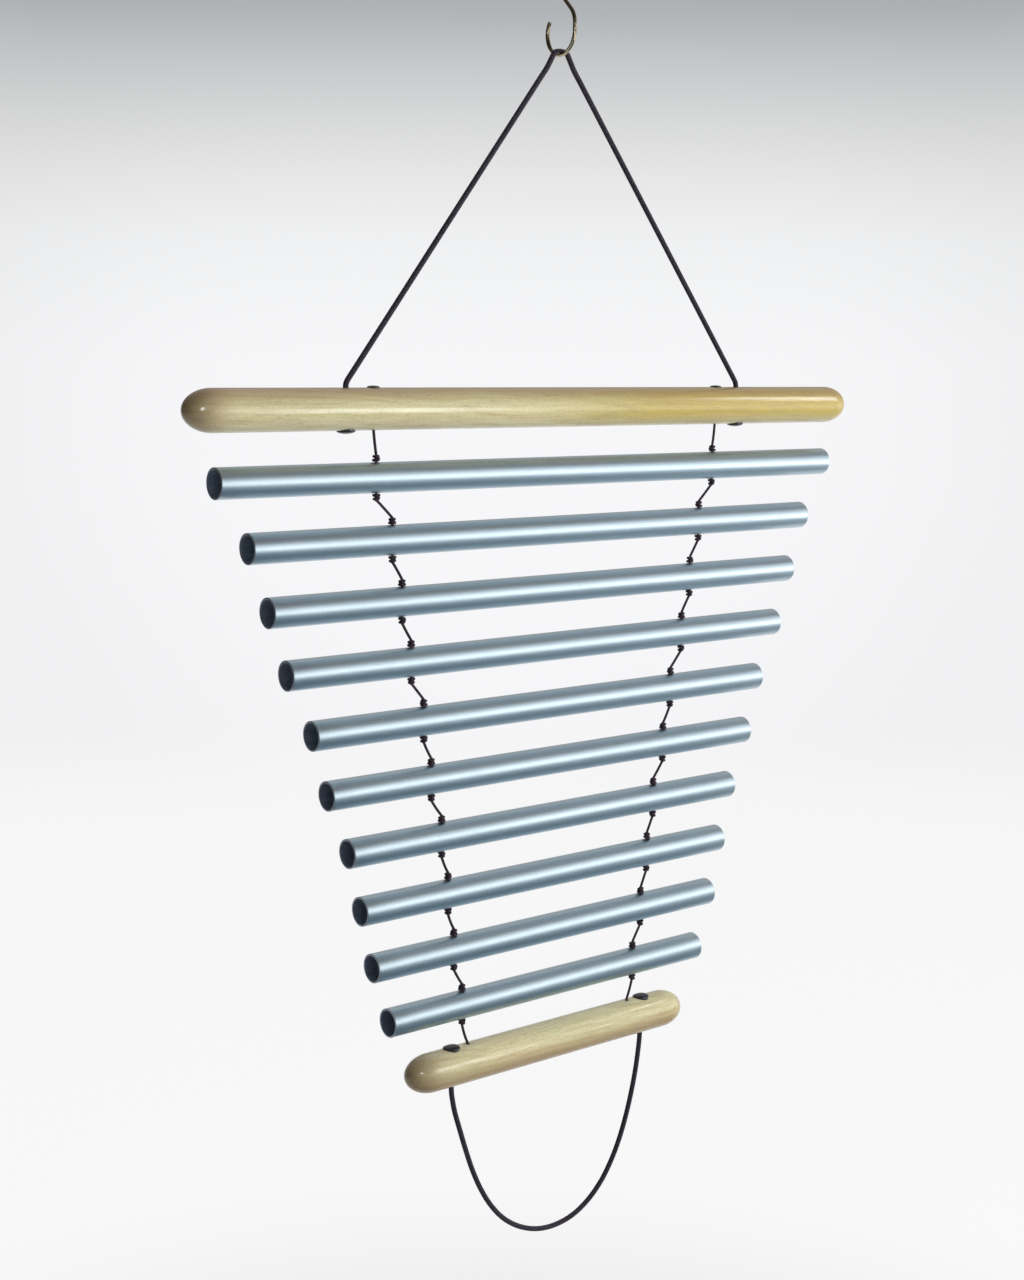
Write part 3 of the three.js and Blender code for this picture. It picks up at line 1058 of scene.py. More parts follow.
@dataclass
class FreeCord:
    """A length of the thick cord that hangs by both of its ends.

    Attributes:
        node: CAD node that it stands for, and its body.
        route: Points of its route in the upright plane of the rails, as (x, z).
        rail_side: Side of the rail that it leaves.
        lay: How it hangs. Not used.
        pressed: Whether its middle is pressed flat on the hook.
        into_rail: How far it goes on into the rail at both ends.
    """

    node: str
    route: Sequence[tuple[float, float]]
    rail_side: Side
    lay: str
    pressed: bool = False
    into_rail: float = 0.0009

    def path(self) -> Array:
        """Smooth centreline, with its ends a little way into the rail."""
        route = np.array(self.route)
        curve = evenly(through(np.insert(route, 1, 0, axis=1), per_stretch=24), THICK.step)
        inner = np.array([0, 0, -self.rail_side.value * self.into_rail])
        depth = np.linspace(1, 0, 6)[:-1, None]
        return np.vstack([curve[0] + depth * inner, curve, curve[-1] + depth[::-1] * inner])

    def build(self, material: Material) -> None:
        """A pressed one is flattened by exp(-(x / width)^4) and sinks by depth * exp(-(x / reach)^2).

        Args:
            material: Its finish.
        """
        path, flat = self.path(), None
        if self.pressed:
            width, depth, reach = 0.0042, 0.0009, 0.0045
            flat = np.exp(-((path[:, 0] / width) ** 4))
            path[:, 2] -= depth * np.exp(-((path[:, 0] / reach) ** 2))
        piece = THICK.surface(path, flat).piece(f"{self.node}_braid")
        dress(piece, self.node, self.node, THICK.slot, material)
        length = float(travelled(path)[-1])
        tuple(path[0])
        LOG.info("%s: %.3f m of cord", piece.name, length)


HANGING_LEG = (
    (-0.165, -0.2835), (-0.16483, -0.28198), (-0.16434, -0.28053), (-0.16354, -0.27922),
    (-0.15745, -0.27133), (-0.0874, -0.18052), (-0.01736, -0.08971), (-0.01126, -0.08181),
    (-0.00639, -0.07365), (-0.00558, -0.07227), (-0.00446, -0.07111), (-0.00311, -0.07023),
    (-0.0016, -0.06968),
)
HANGING_ROUTE = (*HANGING_LEG, (0.0, -0.0695), *((-x, z) for x, z in reversed(HANGING_LEG)))
LOOP_ROUTE = (
    (-0.0845, -0.7455), (-0.08399, -0.75204), (-0.08163, -0.76398), (-0.07698, -0.77906),
    (-0.07199, -0.79452), (-0.06599, -0.81099), (-0.05898, -0.82607), (-0.05002, -0.84053),
    (-0.03904, -0.85297), (-0.02501, -0.86303), (-0.00904, -0.86944), (0.00701, -0.8712),
    (0.02298, -0.86856), (0.03701, -0.86152), (0.04901, -0.85096), (0.05847, -0.83801),
    (0.06599, -0.82356), (0.07199, -0.80797), (0.07698, -0.791), (0.08104, -0.77303),
    (0.08399, -0.75304), (0.0845, -0.7455),
)


def bowed(top: Array, bottom: Array, bow: float) -> Array:
    """Slack stretch of string: the straight line plus 4 bow t (1 - t) along X, and less along Y.

    Args:
        top: Upper end.
        bottom: Lower end.
        bow: Greatest distance from the straight line.

    Returns:
        Points by three.
    """
    along_x, along_y = 4, 1.3
    t = np.linspace(0, 1, 14)[:, None]
    path = top + (bottom - top) * t
    path[:, :2] += bow * np.array([along_x, along_y]) * t * (1 - t)
    return path


@dataclass
class Hook:
    """S-hook of round brass wire, bent in the upright plane across the rails.

    Attributes:
        wire_radius: Half the wire's thickness.
        bowl_radius: Radius of each bowl, to the wire's middle.
        straight: Straight stretch of the shank after the bowl.
        shank_lean: Degrees by which the shank's bend goes on.
        tip_rise: Degrees by which the bowl's tip rises past level.
        middle: Height of the S's middle.
        lower_bowl: Height of the lower bowl's centre.
    """

    wire_radius: float = 0.0013
    bowl_radius: float = 0.0137
    straight: float = 0.004
    shank_lean: float = 45.0
    tip_rise: float = 34.0
    middle: float = -0.0357747
    lower_bowl: float = -0.0591494

    def centreline(self) -> Array:
        """Lower bowl, shank and the same bowl turned half round above it.

        Each bend is centre + bowl radius * (cos angle, sin angle) in the YZ plane.

        Returns:
            Points by three.
        """
        bowl = np.radians(np.linspace(self.tip_rise, -180, 90))
        bend = np.radians(np.linspace(-180, -180 - self.shank_lean, 20))
        angle = np.concatenate([bowl, bend])
        centre = self.lower_bowl + np.repeat([0, self.straight], [len(bowl), len(bend)])
        y, z = self.bowl_radius * np.cos(angle), centre + self.bowl_radius * np.sin(angle)
        lower = np.stack([np.zeros_like(y), y, z], 1)
        upper = np.stack([np.zeros_like(y), -y, 2 * self.middle - z], 1)[::-1]
        return evenly(np.vstack([lower, upper]), step=0.0006)

    def build(self) -> None:
        """Makes the hook. Its domed tips are drawn back and kept full, as a cropped wire's are."""
        rings, fullness, back = 7, 0.4, 0.55
        path, radius = rounded_tips(self.centreline()[1:-1], self.wire_radius, rings)
        place = np.arange(len(path))
        from_tip = np.minimum(place, place[::-1])
        full = radius**fullness * self.wire_radius ** (1 - fullness)
        radius = np.where(from_tip < rings, full, radius)
        share = np.clip(1 - from_tip / rings, 0, 1)[:, None]
        inset = np.where(place[:, None] < len(path) // 2, path[rings], path[-rings - 1])
        path = path + (inset - path) * share * back
        piece = sweep(path, radius[:, None], sides=28, start=(1, 0, 0)).piece("hook")
        dress(piece, "hook", "brass_hook", Slot.BRASS, BrassFinish().material("aged_brass"))


# Rods: tubes and rails


@dataclass
class Mouth:
    """Round mouth of a hole in a rod along X.

    Attributes:
        x: Place along the rod.
        side: Side of the rod that it opens on.
        rim: Radius of the hole.
        depth: Depth to which the hole is modelled.
    """

    x: float
    side: Side
    rim: float
    depth: float


def with_mouths(points: Array, radius: float, mouths: Sequence[Mouth]) -> Array:
    """Sinks round mouths in the surface of a rod along X whose axis is at the origin.

    At a distance d from a hole's axis, a point past the inner zone goes to rim + (d - inner) *
    (reach - rim) / (reach - inner). One inside it goes down the wall, to depth * (1 - d / inner)
    over the wall's share, and then in over the floor. An exponential dip eases the edge.

    Args:
        points: Grid of points by three.
        radius: Radius of the rod.
        mouths: The mouths.

    Returns:
        The changed points.
    """
    wall, dip, dip_reach = 0.7, 0.0002, 0.0003
    reach_share, inner_share = 2.6, 1.35
    made = points.copy()
    for mouth in mouths:
        across, back, sign = points[..., 0] - mouth.x, points[..., 1], mouth.side.value
        distance = np.hypot(across, back)
        reach, inner = reach_share * mouth.rim, inner_share * mouth.rim
        near = (distance < reach) & (points[..., 2] * sign > 0)
        share = np.clip(1 - distance / inner, 0, 1)
        outside = mouth.rim + (distance - inner) * (reach - mouth.rim) / (reach - inner)
        inside = np.where(share < wall, mouth.rim, mouth.rim * (1 - share) / (1 - wall))
        moved = np.where(distance > inner, outside, inside)
        ratio = moved / np.maximum(distance, NEARLY_NOTHING)
        lip = dip * np.exp(-np.maximum(moved - mouth.rim, 0) / dip_reach)
        sunk = mouth.depth * np.clip(share / wall, 0, 1) + lip
        x, y = mouth.x + across * ratio, back * ratio
        z = sign * (np.sqrt(np.maximum(radius**2 - y**2, 0)) - sunk)
        made[near] = np.stack([x, y, z], -1)[near]
    return made


def places_along(half: float, coarse: float, mouths: Sequence[Mouth], fine: float) -> Array:
    """Places of sections along a rod, closer together round its mouths.

    Args:
        half: Distance of the first and the last place from the rod's middle.
        coarse: Distance between sections away from the mouths.
        mouths: The mouths.
        fine: Distance between sections within reach of one.

    Returns:
        Places in order, without near doubles.
    """
    rims, least_share = 3, 0.45
    places = [np.linspace(-half, half, int(round(2 * half / coarse)) + 1)]
    for mouth in mouths:
        reach = rims * mouth.rim
        places.append(np.arange(mouth.x - reach, mouth.x + reach + fine / 2, fine))
    merged = np.sort(np.concatenate(places))
    merged = merged[(merged >= -half) & (merged <= half)]
    return merged[np.concatenate([[True], np.diff(merged) > fine * least_share])]


class TubeFace(IntEnum):
    """Parts of a tube's surface, in the order of its material slots."""

    SKIN = 0
    CUT = 1
    BORE = 2


@dataclass
class Tube:
    """One tuned tube with the two strings that come down to it from the piece above.

    Attributes:
        index: Place from the top, from 1.
        length: Length of the tube.
        above_x: Half the spacing of the strings where they leave the piece above.
        above_z: Height there.
        radius: Radius of its skin.
        wall: Thickness of its wall.
        first_z: Height of the top tube's axis.
        pitch: Distance from one tube's axis to the next.
        node_share: Share of the length from an end to the hole, at a node of vibration.
        ease: Radius of the rims' eased edges.
    """

    index: int
    length: float
    above_x: float
    above_z: float
    radius: float = 0.0095
    wall: float = 0.0012
    first_z: float = -0.338849
    pitch: float = 0.0391
    node_share: float = 0.22
    ease: float = 0.00022

    @property
    def z(self) -> float:
        """Height of its axis."""
        return self.first_z - self.pitch * (self.index - 1)

    @property
    def hole(self) -> float:
        """Distance of its string holes from its middle."""
        return self.length * (0.5 - self.node_share)

    @property
    def next_start(self) -> tuple[float, float]:
        """Place, as (x, z), inside the knot under this tube, where the next stretch starts."""
        return self.hole, self.z - (self.radius + TOUCH + THIN.knot_height) + KNOT_OVERLAP

    @property
    def body(self) -> str:
        """Name of its body and of its node."""
        return f"tube_{self.index:02d}"

    def surface(self) -> tuple[Surface, Array]:
        """Pipe about the origin: skin, eased rims and bore, as rings round X.

        Returns:
            The surface and the part of the tube that each row starts.
        """
        sides, bore_rings, coarse, fine, depth = 96, 12, 0.02, 0.0005, 0.001
        mouths = [
            Mouth(hand.value * self.hole, side, THIN.mouth, depth) for hand in Hand for side in Side
        ]
        half, inner = self.length / 2, self.radius - self.wall
        skin = places_along(half - self.ease, coarse, mouths[::len(Side)], fine)
        angle = np.linspace(0, np.pi / 2, 5)[1:-1]
        eased_x, eased_r = half - self.ease * (1 - np.sin(angle)), self.ease * (1 - np.cos(angle))
        rim_x = np.concatenate([eased_x, [half, half], eased_x[::-1]])
        flat_r = [self.radius - self.ease, inner + self.ease]
        rim_r = np.concatenate([self.radius - eased_r, flat_r, inner + eased_r[::-1]])
        bore = np.linspace(half - self.ease, -half + self.ease, bore_rings)
        rows = [len(skin), len(rim_x), len(bore), len(rim_x)]
        x = np.concatenate([skin, rim_x, bore, -rim_x[::-1]])
        r = np.concatenate([
            np.full(len(skin), self.radius), rim_r, np.full(len(bore), inner), rim_r[::-1],
        ])
        parts = np.repeat([TubeFace.SKIN, TubeFace.CUT, TubeFace.BORE, TubeFace.CUT], rows)
        parts[len(skin) - 1] = TubeFace.CUT
        grid = rings_along(x, r, sides)
        grid[:len(skin)] = with_mouths(grid[:len(skin)], self.radius, mouths)
        return Surface(grid, x - x.min(), ring=True), parts

    def build(self, finishes: Sequence[Material], thin: Material) -> None:
        """Makes the tube and its two strings.

        Args:
            finishes: Finishes of the skin, the cut rims and the bore.
            thin: Finish of the strings.
        """
        made, parts = self.surface()
        made.points[..., 2] += self.z
        piece = made.piece(f"{self.body}_pipe")
        indices = np.repeat(parts, made.points.shape[1]).astype(np.int32)
        piece.data.polygons.foreach_set("material_index", indices)
        dress(piece, self.body, self.body, Slot.ALUMINIUM, *finishes)
        for hand in Hand:
            self.string(hand, thin)

    def string(self, hand: Hand, material: Material) -> None:
        """Makes the string from the piece above, knotted above and below this tube.

        Args:
            hand: Side of the chime.
            material: Its finish.
        """
        least_bow, most_bow, flare = -0.0002, 0.0006, 0.14
        chance = np.random.default_rng(100 * self.index + hand.value)
        x, away = hand.value * self.hole, self.radius + TOUCH + THIN.knot_height / 2
        spins = chance.uniform(0, 2 * np.pi, 2)
        upper = THIN.overhand((x, 0, self.z + away), spins[0], flare)
        lower = THIN.overhand((x, 0, self.z - away), spins[1], -flare)
        top = np.array([hand.value * self.above_x, 0, self.above_z])
        span = bowed(top, upper[0], chance.uniform(least_bow, most_bow) * hand.value)
        path = softened(evenly(np.vstack([span, upper, lower]), THIN.step), width=7)
        node = f"string_{hand.word}_{self.index:02d}"
        dress(THIN.surface(path).piece(f"{node}_tied"), self.body, node, THIN.slot, material)


LONGEST = 0.511
SEMITONES = (0, 3, 5, 7, 10, 12, 15, 17, 19, 22)


def tube_set() -> list[Tube]:
    """The ten tubes from the top, each a 24th root of two shorter for every semitone."""
    tubes: list[Tube] = []
    start = TOP_STRING_X, TOP_RAIL_Z - RAIL_RADIUS + STRING_IN_RAIL
    for index, steps in enumerate(SEMITONES, 1):
        tubes.append(Tube(index, LONGEST * 2 ** (-steps / 24), *start))
        start = tubes[-1].next_start
    return tubes


TUBES = tube_set()


@dataclass
class Rail:
    """Round wooden rail with domed ends, its mouths, caps and the lines that are knotted in it.

    Attributes:
        name: Name of the CAD node and of the body.
        length: Whole length.
        z: Height of its axis.
        cord_x: Half the spacing of the cord's holes.
        string_x: Half the spacing of the strings' holes.
        cord_side: Side that the cord leaves. The strings leave the other one.
        finish: Finish of the wood.
        cord_knot: Start of the names of the cord's stopper nodes.
        cord_cap: Start of the names of the cord's cap nodes.
        radius: Radius of the rail.
        end_length: Length of each domed end.
    """

    name: str
    length: float
    z: float
    cord_x: float
    string_x: float
    cord_side: Side
    finish: WoodFinish
    cord_knot: str
    cord_cap: str
    radius: float = RAIL_RADIUS
    end_length: float = 0.019

    def hole(self, line: Line) -> tuple[float, Side]:
        """Half the spacing of a line's holes, and the side that it leaves."""
        if line is THICK:
            return self.cord_x, self.cord_side
        return self.string_x, self.cord_side.across

    def surface(self) -> Surface:
        """Turned surface: an ellipse's quarter at each end and a plain rod between.

        At an angle a from the tip, x = tip - end length * (1 - cos a) and r = radius * sin a.

        Returns:
            The surface about the origin.
        """
        sides, coarse, fine, depth = 168, 0.0025, 0.00034, 0.006
        mouths = [
            Mouth(hand.value * self.hole(line)[0], self.hole(line)[1], line.mouth, depth)
            for hand in Hand for line in (THICK, THIN)
        ]
        angle = np.linspace(0, np.pi / 2, 33)[1:-1]
        tip = self.length / 2
        end_x, end_r = tip - self.end_length * (1 - np.cos(angle)), self.radius * np.sin(angle)
        middle = places_along(tip - self.end_length, coarse, mouths, fine)
        x = np.concatenate([-end_x, middle, end_x[::-1]])
        r = np.concatenate([end_r, np.full(len(middle), self.radius), end_r[::-1]])
        return Surface(with_mouths(rings_along(x, r, sides), self.radius, mouths), x - x[0])

    def build(self, thick: Material, thin: Material, cap: Material) -> None:
        """Makes the rail and everything that is fixed in it.

        Args:
            thick: Finish of the cord.
            thin: Finish of the strings.
            cap: Finish of the caps.
        """
        made = self.surface()
        made.points[..., 2] += self.z
        wood = self.finish.material(f"{self.name}_wood")
        dress(made.piece(f"{self.name}_turning"), self.name, self.name, Slot.WOOD, wood)
        for hand in Hand:
            self.line_end(hand, THICK, f"{self.cord_knot}_{hand.word}", thick)
            self.cap(hand, THICK, f"{self.cord_cap}_{hand.word}", cap)
            if self.cord_side is Side.TOP:
                self.cap(hand, THIN, f"top_rail_string_cap_{hand.word}", cap)
                self.line_end(hand, THIN, f"string_{hand.word}_start", thin)
            else:
                self.plug(hand, wood)
                self.last_string(hand, thin)

    def stopper(self, hand: Hand, line: Line) -> Array:
        """Line from just inside its mouth to the stopper knot on the far side, with the knot tied.

        Args:
            hand: End of the rail.
            line: Cord or string.

        Returns:
            Points by three.
        """
        x, leaves = self.hole(line)
        sign = leaves.value
        floor = -sign * (self.radius - PLUG_DEPTH - line.knot_height - 2 * TOUCH)
        knot_z = self.z + floor - sign * (TOUCH + line.knot_height / 2)
        knot = line.overhand((hand.value * x, 0, knot_z), turn=0.7)
        start = np.array([hand.value * x, 0, self.z + sign * (self.radius - line.inset)])
        return np.vstack([start, knot[::sign]])

    def line_end(self, hand: Hand, line: Line, node: str, material: Material) -> None:
        """Makes the run of a line through the rail and its stopper knot.

        Args:
            hand: End of the rail.
            line: Cord or string.
            node: CAD node that it stands for.
            material: Its finish.
        """
        path = softened(evenly(self.stopper(hand, line), line.step), width=5)
        dress(line.surface(path).piece(f"{node}_tied"), self.name, node, line.slot, material)

    def last_string(self, hand: Hand, material: Material) -> None:
        """Makes the string's last stretch, from under the lowest tube, and its knot in this rail.

        Args:
            hand: End of the rail.
            material: Its finish.
        """
        bow, above_mouth = 0.0006, 0.0006
        x, z = TUBES[-1].next_start
        top = np.array([hand.value * x, 0, z])
        mouth = np.array([hand.value * self.string_x, 0, self.z + self.radius + above_mouth])
        path = np.vstack([bowed(top, mouth, bow * hand.value), self.stopper(hand, THIN)])
        node = f"string_{hand.word}_end"
        path = softened(evenly(path, THIN.step), width=9)
        piece = THIN.surface(path).piece(f"{node}_tied")
        dress(piece, self.name, node, THIN.slot, material)

    def cap(self, hand: Hand, line: Line, node: str, material: Material) -> None:
        """Makes the domed cap over a line's knot, bent over the rail.

        At a share s of its radius the top is edge + (rise - edge) * root(1 - s^2) above a bed. The
        bed is two thirds of the way from the rail's top line down to its surface, which is at
        root(rail radius^2 - y^2).

        Args:
            hand: End of the rail.
            line: Line whose knot it covers.
            node: CAD node that it stands for.
            material: Its finish.
        """
        edge, seat_gap, bed_share, sides = 0.0004, 0.00003, 0.67, 64
        x, leaves = self.hole(line)
        share = np.sin(np.linspace(0.03, 1, 22) * np.pi / 2)[:, None]
        skirt, seat = np.linspace(0, 1, 7)[1:, None], np.linspace(1, 0.03, 10)[1:, None]
        ring = line.cap_radius * np.concatenate([share, np.ones_like(skirt), seat])
        floor = np.sqrt(self.radius**2 - (ring * np.sin(turns(sides))) ** 2)
        dome, wall, under = np.split(floor, np.cumsum([len(share), len(skirt)]))
        bed = self.radius + (dome - self.radius) * bed_share
        top = bed + edge + (line.cap_rise - edge) * np.sqrt(1 - share**2)
        down = top[-1] + (wall + seat_gap - top[-1]) * skirt
        height = np.concatenate([top, down, under + seat_gap])
        grid = rings_upright(hand.value * x, ring, self.z + leaves.across.value * height, sides)
        piece = Surface(grid, np.linspace(0, 2 * line.cap_radius, len(grid))).piece(f"{node}_dome")
        dress(piece, self.name, node, Slot.CAP, material)

    def plug(self, hand: Hand, material: Material) -> None:
        """Makes the wooden plug under a string's knot.

        At a share s of its radius its height is rim + (rise - rim) * root(1 - s^2).

        Args:
            hand: End of the rail.
            material: Finish of the wood.
        """
        radius, rise, row_step, sides = 0.0028, 0.0007, 0.0003, 48
        rim = math.sqrt(self.radius**2 - radius**2) - self.radius
        share = np.sin(np.linspace(0.03, 1, 14) * np.pi / 2)[:, None]
        ring = radius * np.concatenate([share, [[1.0], [0.05]]])
        top = self.radius + rim + (rise - rim) * np.sqrt(1 - share**2)
        height = np.concatenate([top, np.full((2, 1), self.radius - PLUG_DEPTH)])
        grid = rings_upright(hand.value * self.string_x, ring, self.z - height, sides)
        node = f"bottom_rail_string_plug_{hand.word}"
        piece = Surface(grid, np.arange(len(grid)) * row_step).piece(f"{node}_end")
        dress(piece, self.name, node, Slot.WOOD, material)


# Studio


class Reach(Enum):
    """What a lamp does: lights all, adds catch lights to lacquer and brass, or fills unseen."""

    ALL = "all"
    CATCH = "catch"
    FILL = "fill"


@dataclass(frozen=True)
class Lamp:
    """Softbox that faces the chime: its place, its width and height, power, colour and reach."""

    place: tuple[float, float, float]
    size: tuple[float, float]
    power: float
    colour: Colour
    reach: Reach = Reach.ALL


LAMPS = {
    "front_softbox": Lamp((0.70, -0.95, -0.46), (2.4, 0.34), 6.2, (1.0, 0.965, 0.925)),
    "upper_softbox": Lamp((0.70, -0.95, -0.03), (2.4, 0.54), 3.8, (0.97, 0.98, 1.0)),
    "front_catch": Lamp((0.40, -0.82, -0.41), (0.21, 0.33), 2.8, (0.86, 0.95, 1.0), Reach.CATCH),
    "right_catch": Lamp((0.96, -0.52, 0.15), (0.16, 0.34), 2.5, (0.95, 0.98, 1.0), Reach.CATCH),
    "left_catch": Lamp((-0.72, -0.90, -0.09), (0.20, 0.20), 4.8, (0.95, 0.98, 1.0), Reach.CATCH),
    "fill": Lamp((1.1, -1.5, -0.2), (1.3, 1.3), 13.5, (1.0, 0.985, 0.96), Reach.FILL),
    "high_fill": Lamp((0.3, -1.2, 1.0), (1.2, 1.2), 9.0, (1.0, 0.99, 0.97), Reach.FILL),
}
LACQUERED = ("aged_brass", "black_plastic", "top_rail_wood", "bottom_rail_wood")
AIM_Z = -0.48  # height that the lamps face
BACKDROP = (  # colours by the height of the view, from -1 straight down to 1 straight up
    (-1.0, (0.62, 0.62, 0.64)), (-0.46, (0.87, 0.87, 0.89)), (-0.40, (0.955, 0.955, 0.965)),
    (-0.33, (0.955, 0.955, 0.965)), (-0.245, (0.94, 0.94, 0.955)), (-0.16, (0.93, 0.93, 0.945)),
    (-0.06, (0.93, 0.93, 0.945)), (0.0, (0.925, 0.925, 0.94)), (0.034, (0.90, 0.905, 0.915)),
    (0.066, (0.87, 0.875, 0.885)), (0.097, (0.80, 0.80, 0.805)), (0.127, (0.69, 0.695, 0.70)),
    (0.157, (0.56, 0.57, 0.58)), (0.183, (0.43, 0.45, 0.47)), (0.24, (0.34, 0.345, 0.36)),
    (0.6, (0.72, 0.69, 0.67)), (1.0, (0.76, 0.72, 0.70)),
)


def stood(right: Array, up: Array, back: Array, place: Sequence[float]) -> Matrix:
    """Matrix of a camera or a lamp, which looks away from its back.

    Args:
        right: Its X axis.
        up: Its Y axis.
        back: Its Z axis.
        place: Where it stands.

    Returns:
        The matrix, with these as its columns.
    """
    turn = np.eye(4)
    turn[:3] = np.stack([right, up, back, place], 1)
    return Matrix(turn.tolist())


@dataclass
class Studio:
    """Camera, lamps, pale background and floor.

    The camera's place and lens are those that fit the photograph's ten tubes. Its angles are in
    degrees.
    """

    lens: float = 51.540
    yaw: float = 38.1293
    pitch: float = 8.5446
    roll: float = -0.4641
    eye: tuple[float, float, float] = (-0.77376, -0.94002, -0.26945)
    floor_z: float = -1.3
    card_z: float = -1.02

    def camera(self) -> None:
        """Makes the camera: forwards, right and down are turned by yaw, pitch and roll."""
        yaw, pitch, roll = (math.radians(angle) for angle in (self.yaw, self.pitch, self.roll))
        level = np.array([math.cos(yaw), -math.sin(yaw), 0.0])
        ahead = np.array([math.sin(yaw), math.cos(yaw), 0.0])
        forwards = ahead * math.cos(pitch) - np.array([0, 0, math.sin(pitch)])
        down = np.cross(forwards, level)
        right = math.cos(roll) * level + math.sin(roll) * down
        lower = -math.sin(roll) * level + math.cos(roll) * down
        data = bpy.data.cameras.new("camera")
        data.lens, data.sensor_width, data.sensor_fit = self.lens, 36.0, "AUTO"
        data.clip_start, data.clip_end = 0.01, 100
        camera = bpy.data.objects.new("camera", data)
        camera.matrix_world = stood(right, -lower, -forwards, self.eye)
        bpy.context.scene.collection.objects.link(camera)
        bpy.context.scene.camera = camera

    def hang(self, name: str, lamp: Lamp, lacquered: bpy.types.Collection) -> None:
        """Adds a softbox that faces the chime, unseen by the camera.

        Args:
            name: Its name.
            lamp: Its settings.
            lacquered: The pieces that catch lights reach.
        """
        level = 0.15
        data = bpy.data.lights.new(name, "AREA")
        data.shape, data.energy, data.color = "RECTANGLE", lamp.power, lamp.colour
        data.size, data.size_y = lamp.size
        softbox = bpy.data.objects.new(name, data)
        back = np.array(lamp.place) - np.array([0, 0, AIM_Z])
        back[2] *= 1 if lamp.reach is Reach.FILL else level
        back /= np.linalg.norm(back)
        side = np.cross([0, 0, 1], back)
        side /= np.linalg.norm(side)
        softbox.matrix_world = stood(side, np.cross(back, side), back, lamp.place)
        softbox.visible_camera, softbox.visible_glossy = False, lamp.reach is not Reach.FILL
        if lamp.reach is Reach.CATCH:
            softbox.visible_diffuse = False
            softbox.light_linking.receiver_collection = lacquered
        bpy.context.scene.collection.objects.link(softbox)

    def world(self) -> None:
        """Lights the scene with the studio's background: grey above, near white at eye level.

        It is brightest behind the chime. In its reflections and on its sides it is dimmer to the
        left, in front and overhead.
        """
        world = bpy.data.worlds.new("studio")
        world.use_nodes = True
        bpy.context.scene.world = world
        bench = Bench(world.node_tree)
        x, y, z = bench.axes(bench.place("Generated"))
        stops = [((height + 1) / 2, colour) for height, colour in BACKDROP]
        ramp = bench.node("ShaderNodeValToRGB", {"stops": stops}, {0: (z + 1) * 0.5})
        seen = bench.node("ShaderNodeLightPath", output="Is Camera Ray")
        side = (x.between(-0.75, 0.35) * 0.86 + 0.14) * (y.between(-0.7, 0.2) * 0.4 + 0.6)
        beyond = y.between(0.0, 0.3) * 0.5 + x.between(0.5, 0.85) * 0.15
        lit = side * (1 - z.between(0.2, 0.6) * (0.57 - beyond))
        pool = (x * 0.617 + y * 0.787).between(0.955, 0.995) * 0.06 + 0.94
        sockets = {"Color": ramp, "Strength": seen.larger(lit) * pool}
        light = bench.node("ShaderNodeBackground", {}, sockets)
        bench.node("ShaderNodeOutputWorld", {}, {"Surface": light})

    def floor(self) -> None:
        """Adds the pale floor, a disc that fades at its edge, and a glowing card that only
        reflections see, a painted reflection.
        """
        thickness, card_thickness = 0.02, 0.01
        radius = np.linspace(0.2, 4.4, 15)[:, None]
        top = rings_upright(0.0, radius, np.full_like(radius, self.floor_z), sides=72)
        grid = np.concatenate([top, top[::-1] - np.array([0, 0, thickness])])
        floor = Surface(grid, np.arange(float(len(grid)))).piece("floor")
        floor.data.materials.append(PaperFinish().material("floor_paper"))
        corners = np.array([[-1.2, -3.4], [3.4, -3.4], [3.4, 0.02], [-1.2, 0.02]])
        heights = (self.card_z, self.card_z - card_thickness)
        sheets = [np.insert(corners, 2, height, axis=1) for height in heights]
        # painted reflection: a glowing sheet hidden from the camera, diffuse light, shadows and glass
        card = Surface(np.stack(sheets), np.arange(2.0)).piece("reflection_card")
        card.data.materials.append(CardFinish().material("card_teal"))
        card.visible_camera = card.visible_diffuse = False
        card.visible_shadow = card.visible_transmission = False

    def build(self) -> None:
        """Lights the scene and lays the floor."""
        lacquered = bpy.data.collections.new("lacquered")
        for piece in bpy.data.objects:
            slots = piece.data.materials if piece.type == "MESH" else None
            if slots and slots[0].name in LACQUERED:
                lacquered.objects.link(piece)
        for name, lamp in LAMPS.items():
            self.hang(name, lamp, lacquered)
        self.world()
        self.floor()
        bpy.context.scene.view_settings.view_transform = "Standard"


def rails() -> tuple[Rail, Rail]:
    """The top and the bottom rail."""
    top_wood = WoodFinish(
        centre=(0.04, 0, TOP_RAIL_Z), tilt=0.05, haze=0.17, honey_from=(-0.06, 0.11),
        middle=TOP_RAIL_Z, shoulder=0.256, heart_way=(0, 1), heart_from=(0.001, 0.0125),
    )
    bottom_wood = WoodFinish(
        centre=(-0.31, 0.02, BOTTOM_RAIL_Z + 0.004), tilt=0.07, haze=0.22, honey_from=(0.1, 0.6),
        middle=BOTTOM_RAIL_Z, shoulder=0.10175, heart_way=(-0.3, -0.95), heart_from=(0.0, 0.0095),
    )
    return (
        Rail(
            "top_rail", 0.550, TOP_RAIL_Z, cord_x=0.165, string_x=TOP_STRING_X, cord_side=Side.TOP,
            finish=top_wood, cord_knot="hanging_cord_knot", cord_cap="top_rail_cord_cap",
        ),
        Rail(
            "bottom_rail", 0.2415, BOTTOM_RAIL_Z, cord_x=0.0845, string_x=0.071,
            cord_side=Side.UNDER, finish=bottom_wood, cord_knot="loop_cord_knot",
            cord_cap="bottom_rail_loop_cap",
        ),
    )


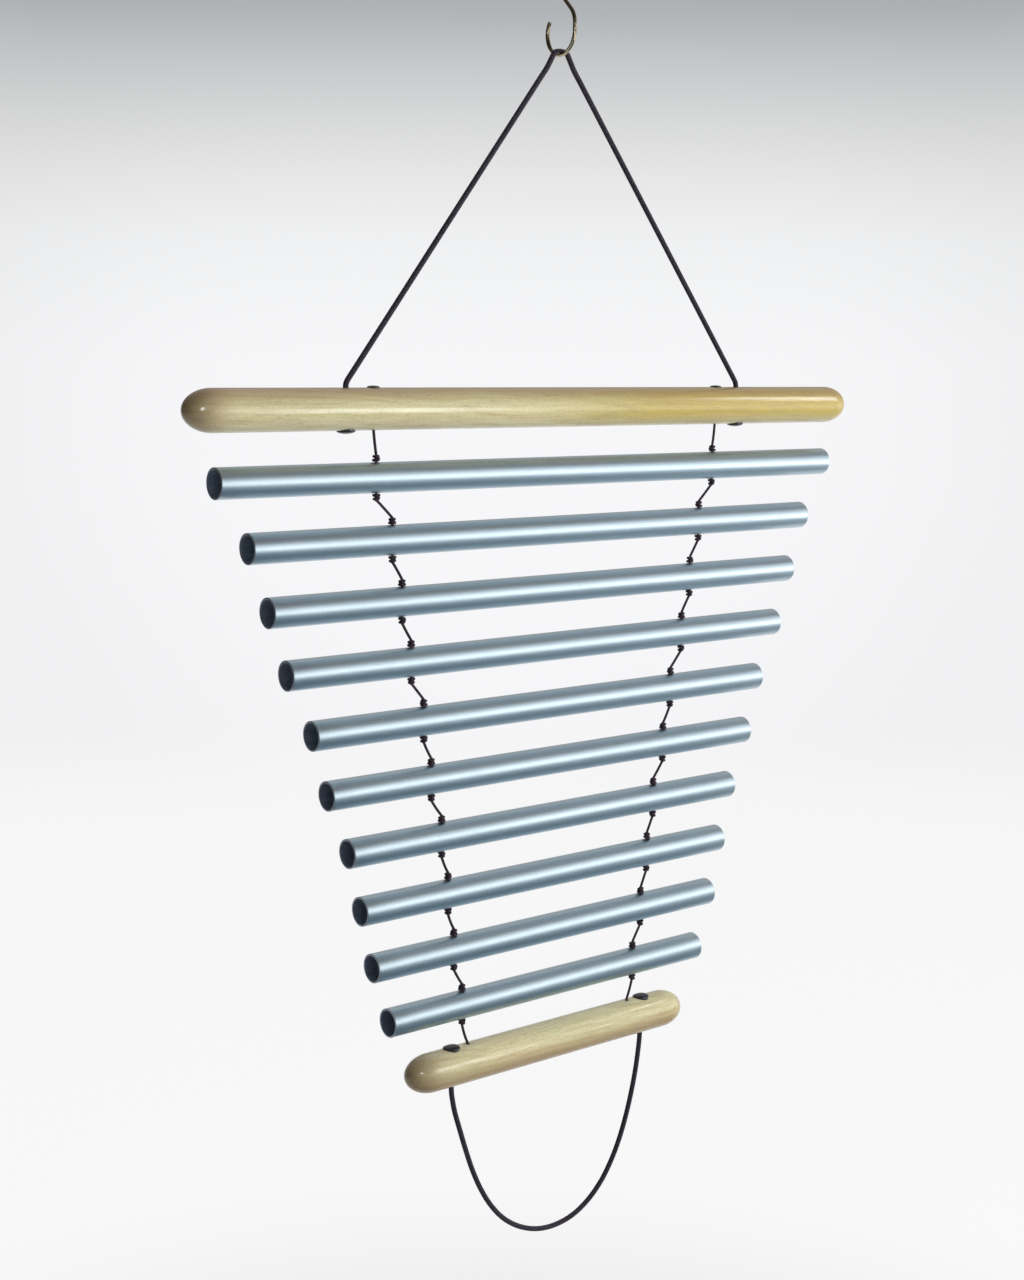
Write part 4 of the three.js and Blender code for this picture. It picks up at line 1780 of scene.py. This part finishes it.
def main() -> None:
    """Builds the camera and the cords, then each sub-assembly from the top down."""
    logging.basicConfig(level=logging.INFO, format="%(name)s: %(message)s")
    studio = Studio()
    studio.camera()
    thick, thin = THICK.material("braided_cord"), THIN.material("braided_string")
    FreeCord("hanging_cord", HANGING_ROUTE, Side.TOP, "taut", pressed=True).build(thick)
    FreeCord("loop_cord", LOOP_ROUTE, Side.UNDER, "hanging").build(thick)
    Hook().build()
    cap = CapFinish().material("black_plastic")
    top_rail, bottom_rail = rails()
    top_rail.build(thick, thin, cap)
    pipe = [
        AluminiumFinish().material("satin_skin"), CutFinish().material("cut_rim"),
        BoreFinish().material("dull_bore"),
    ]
    for tube in TUBES:
        tube.build(pipe, thin)
    bottom_rail.build(thick, thin, cap)
    studio.build()


if __name__ == "__main__":
    main()
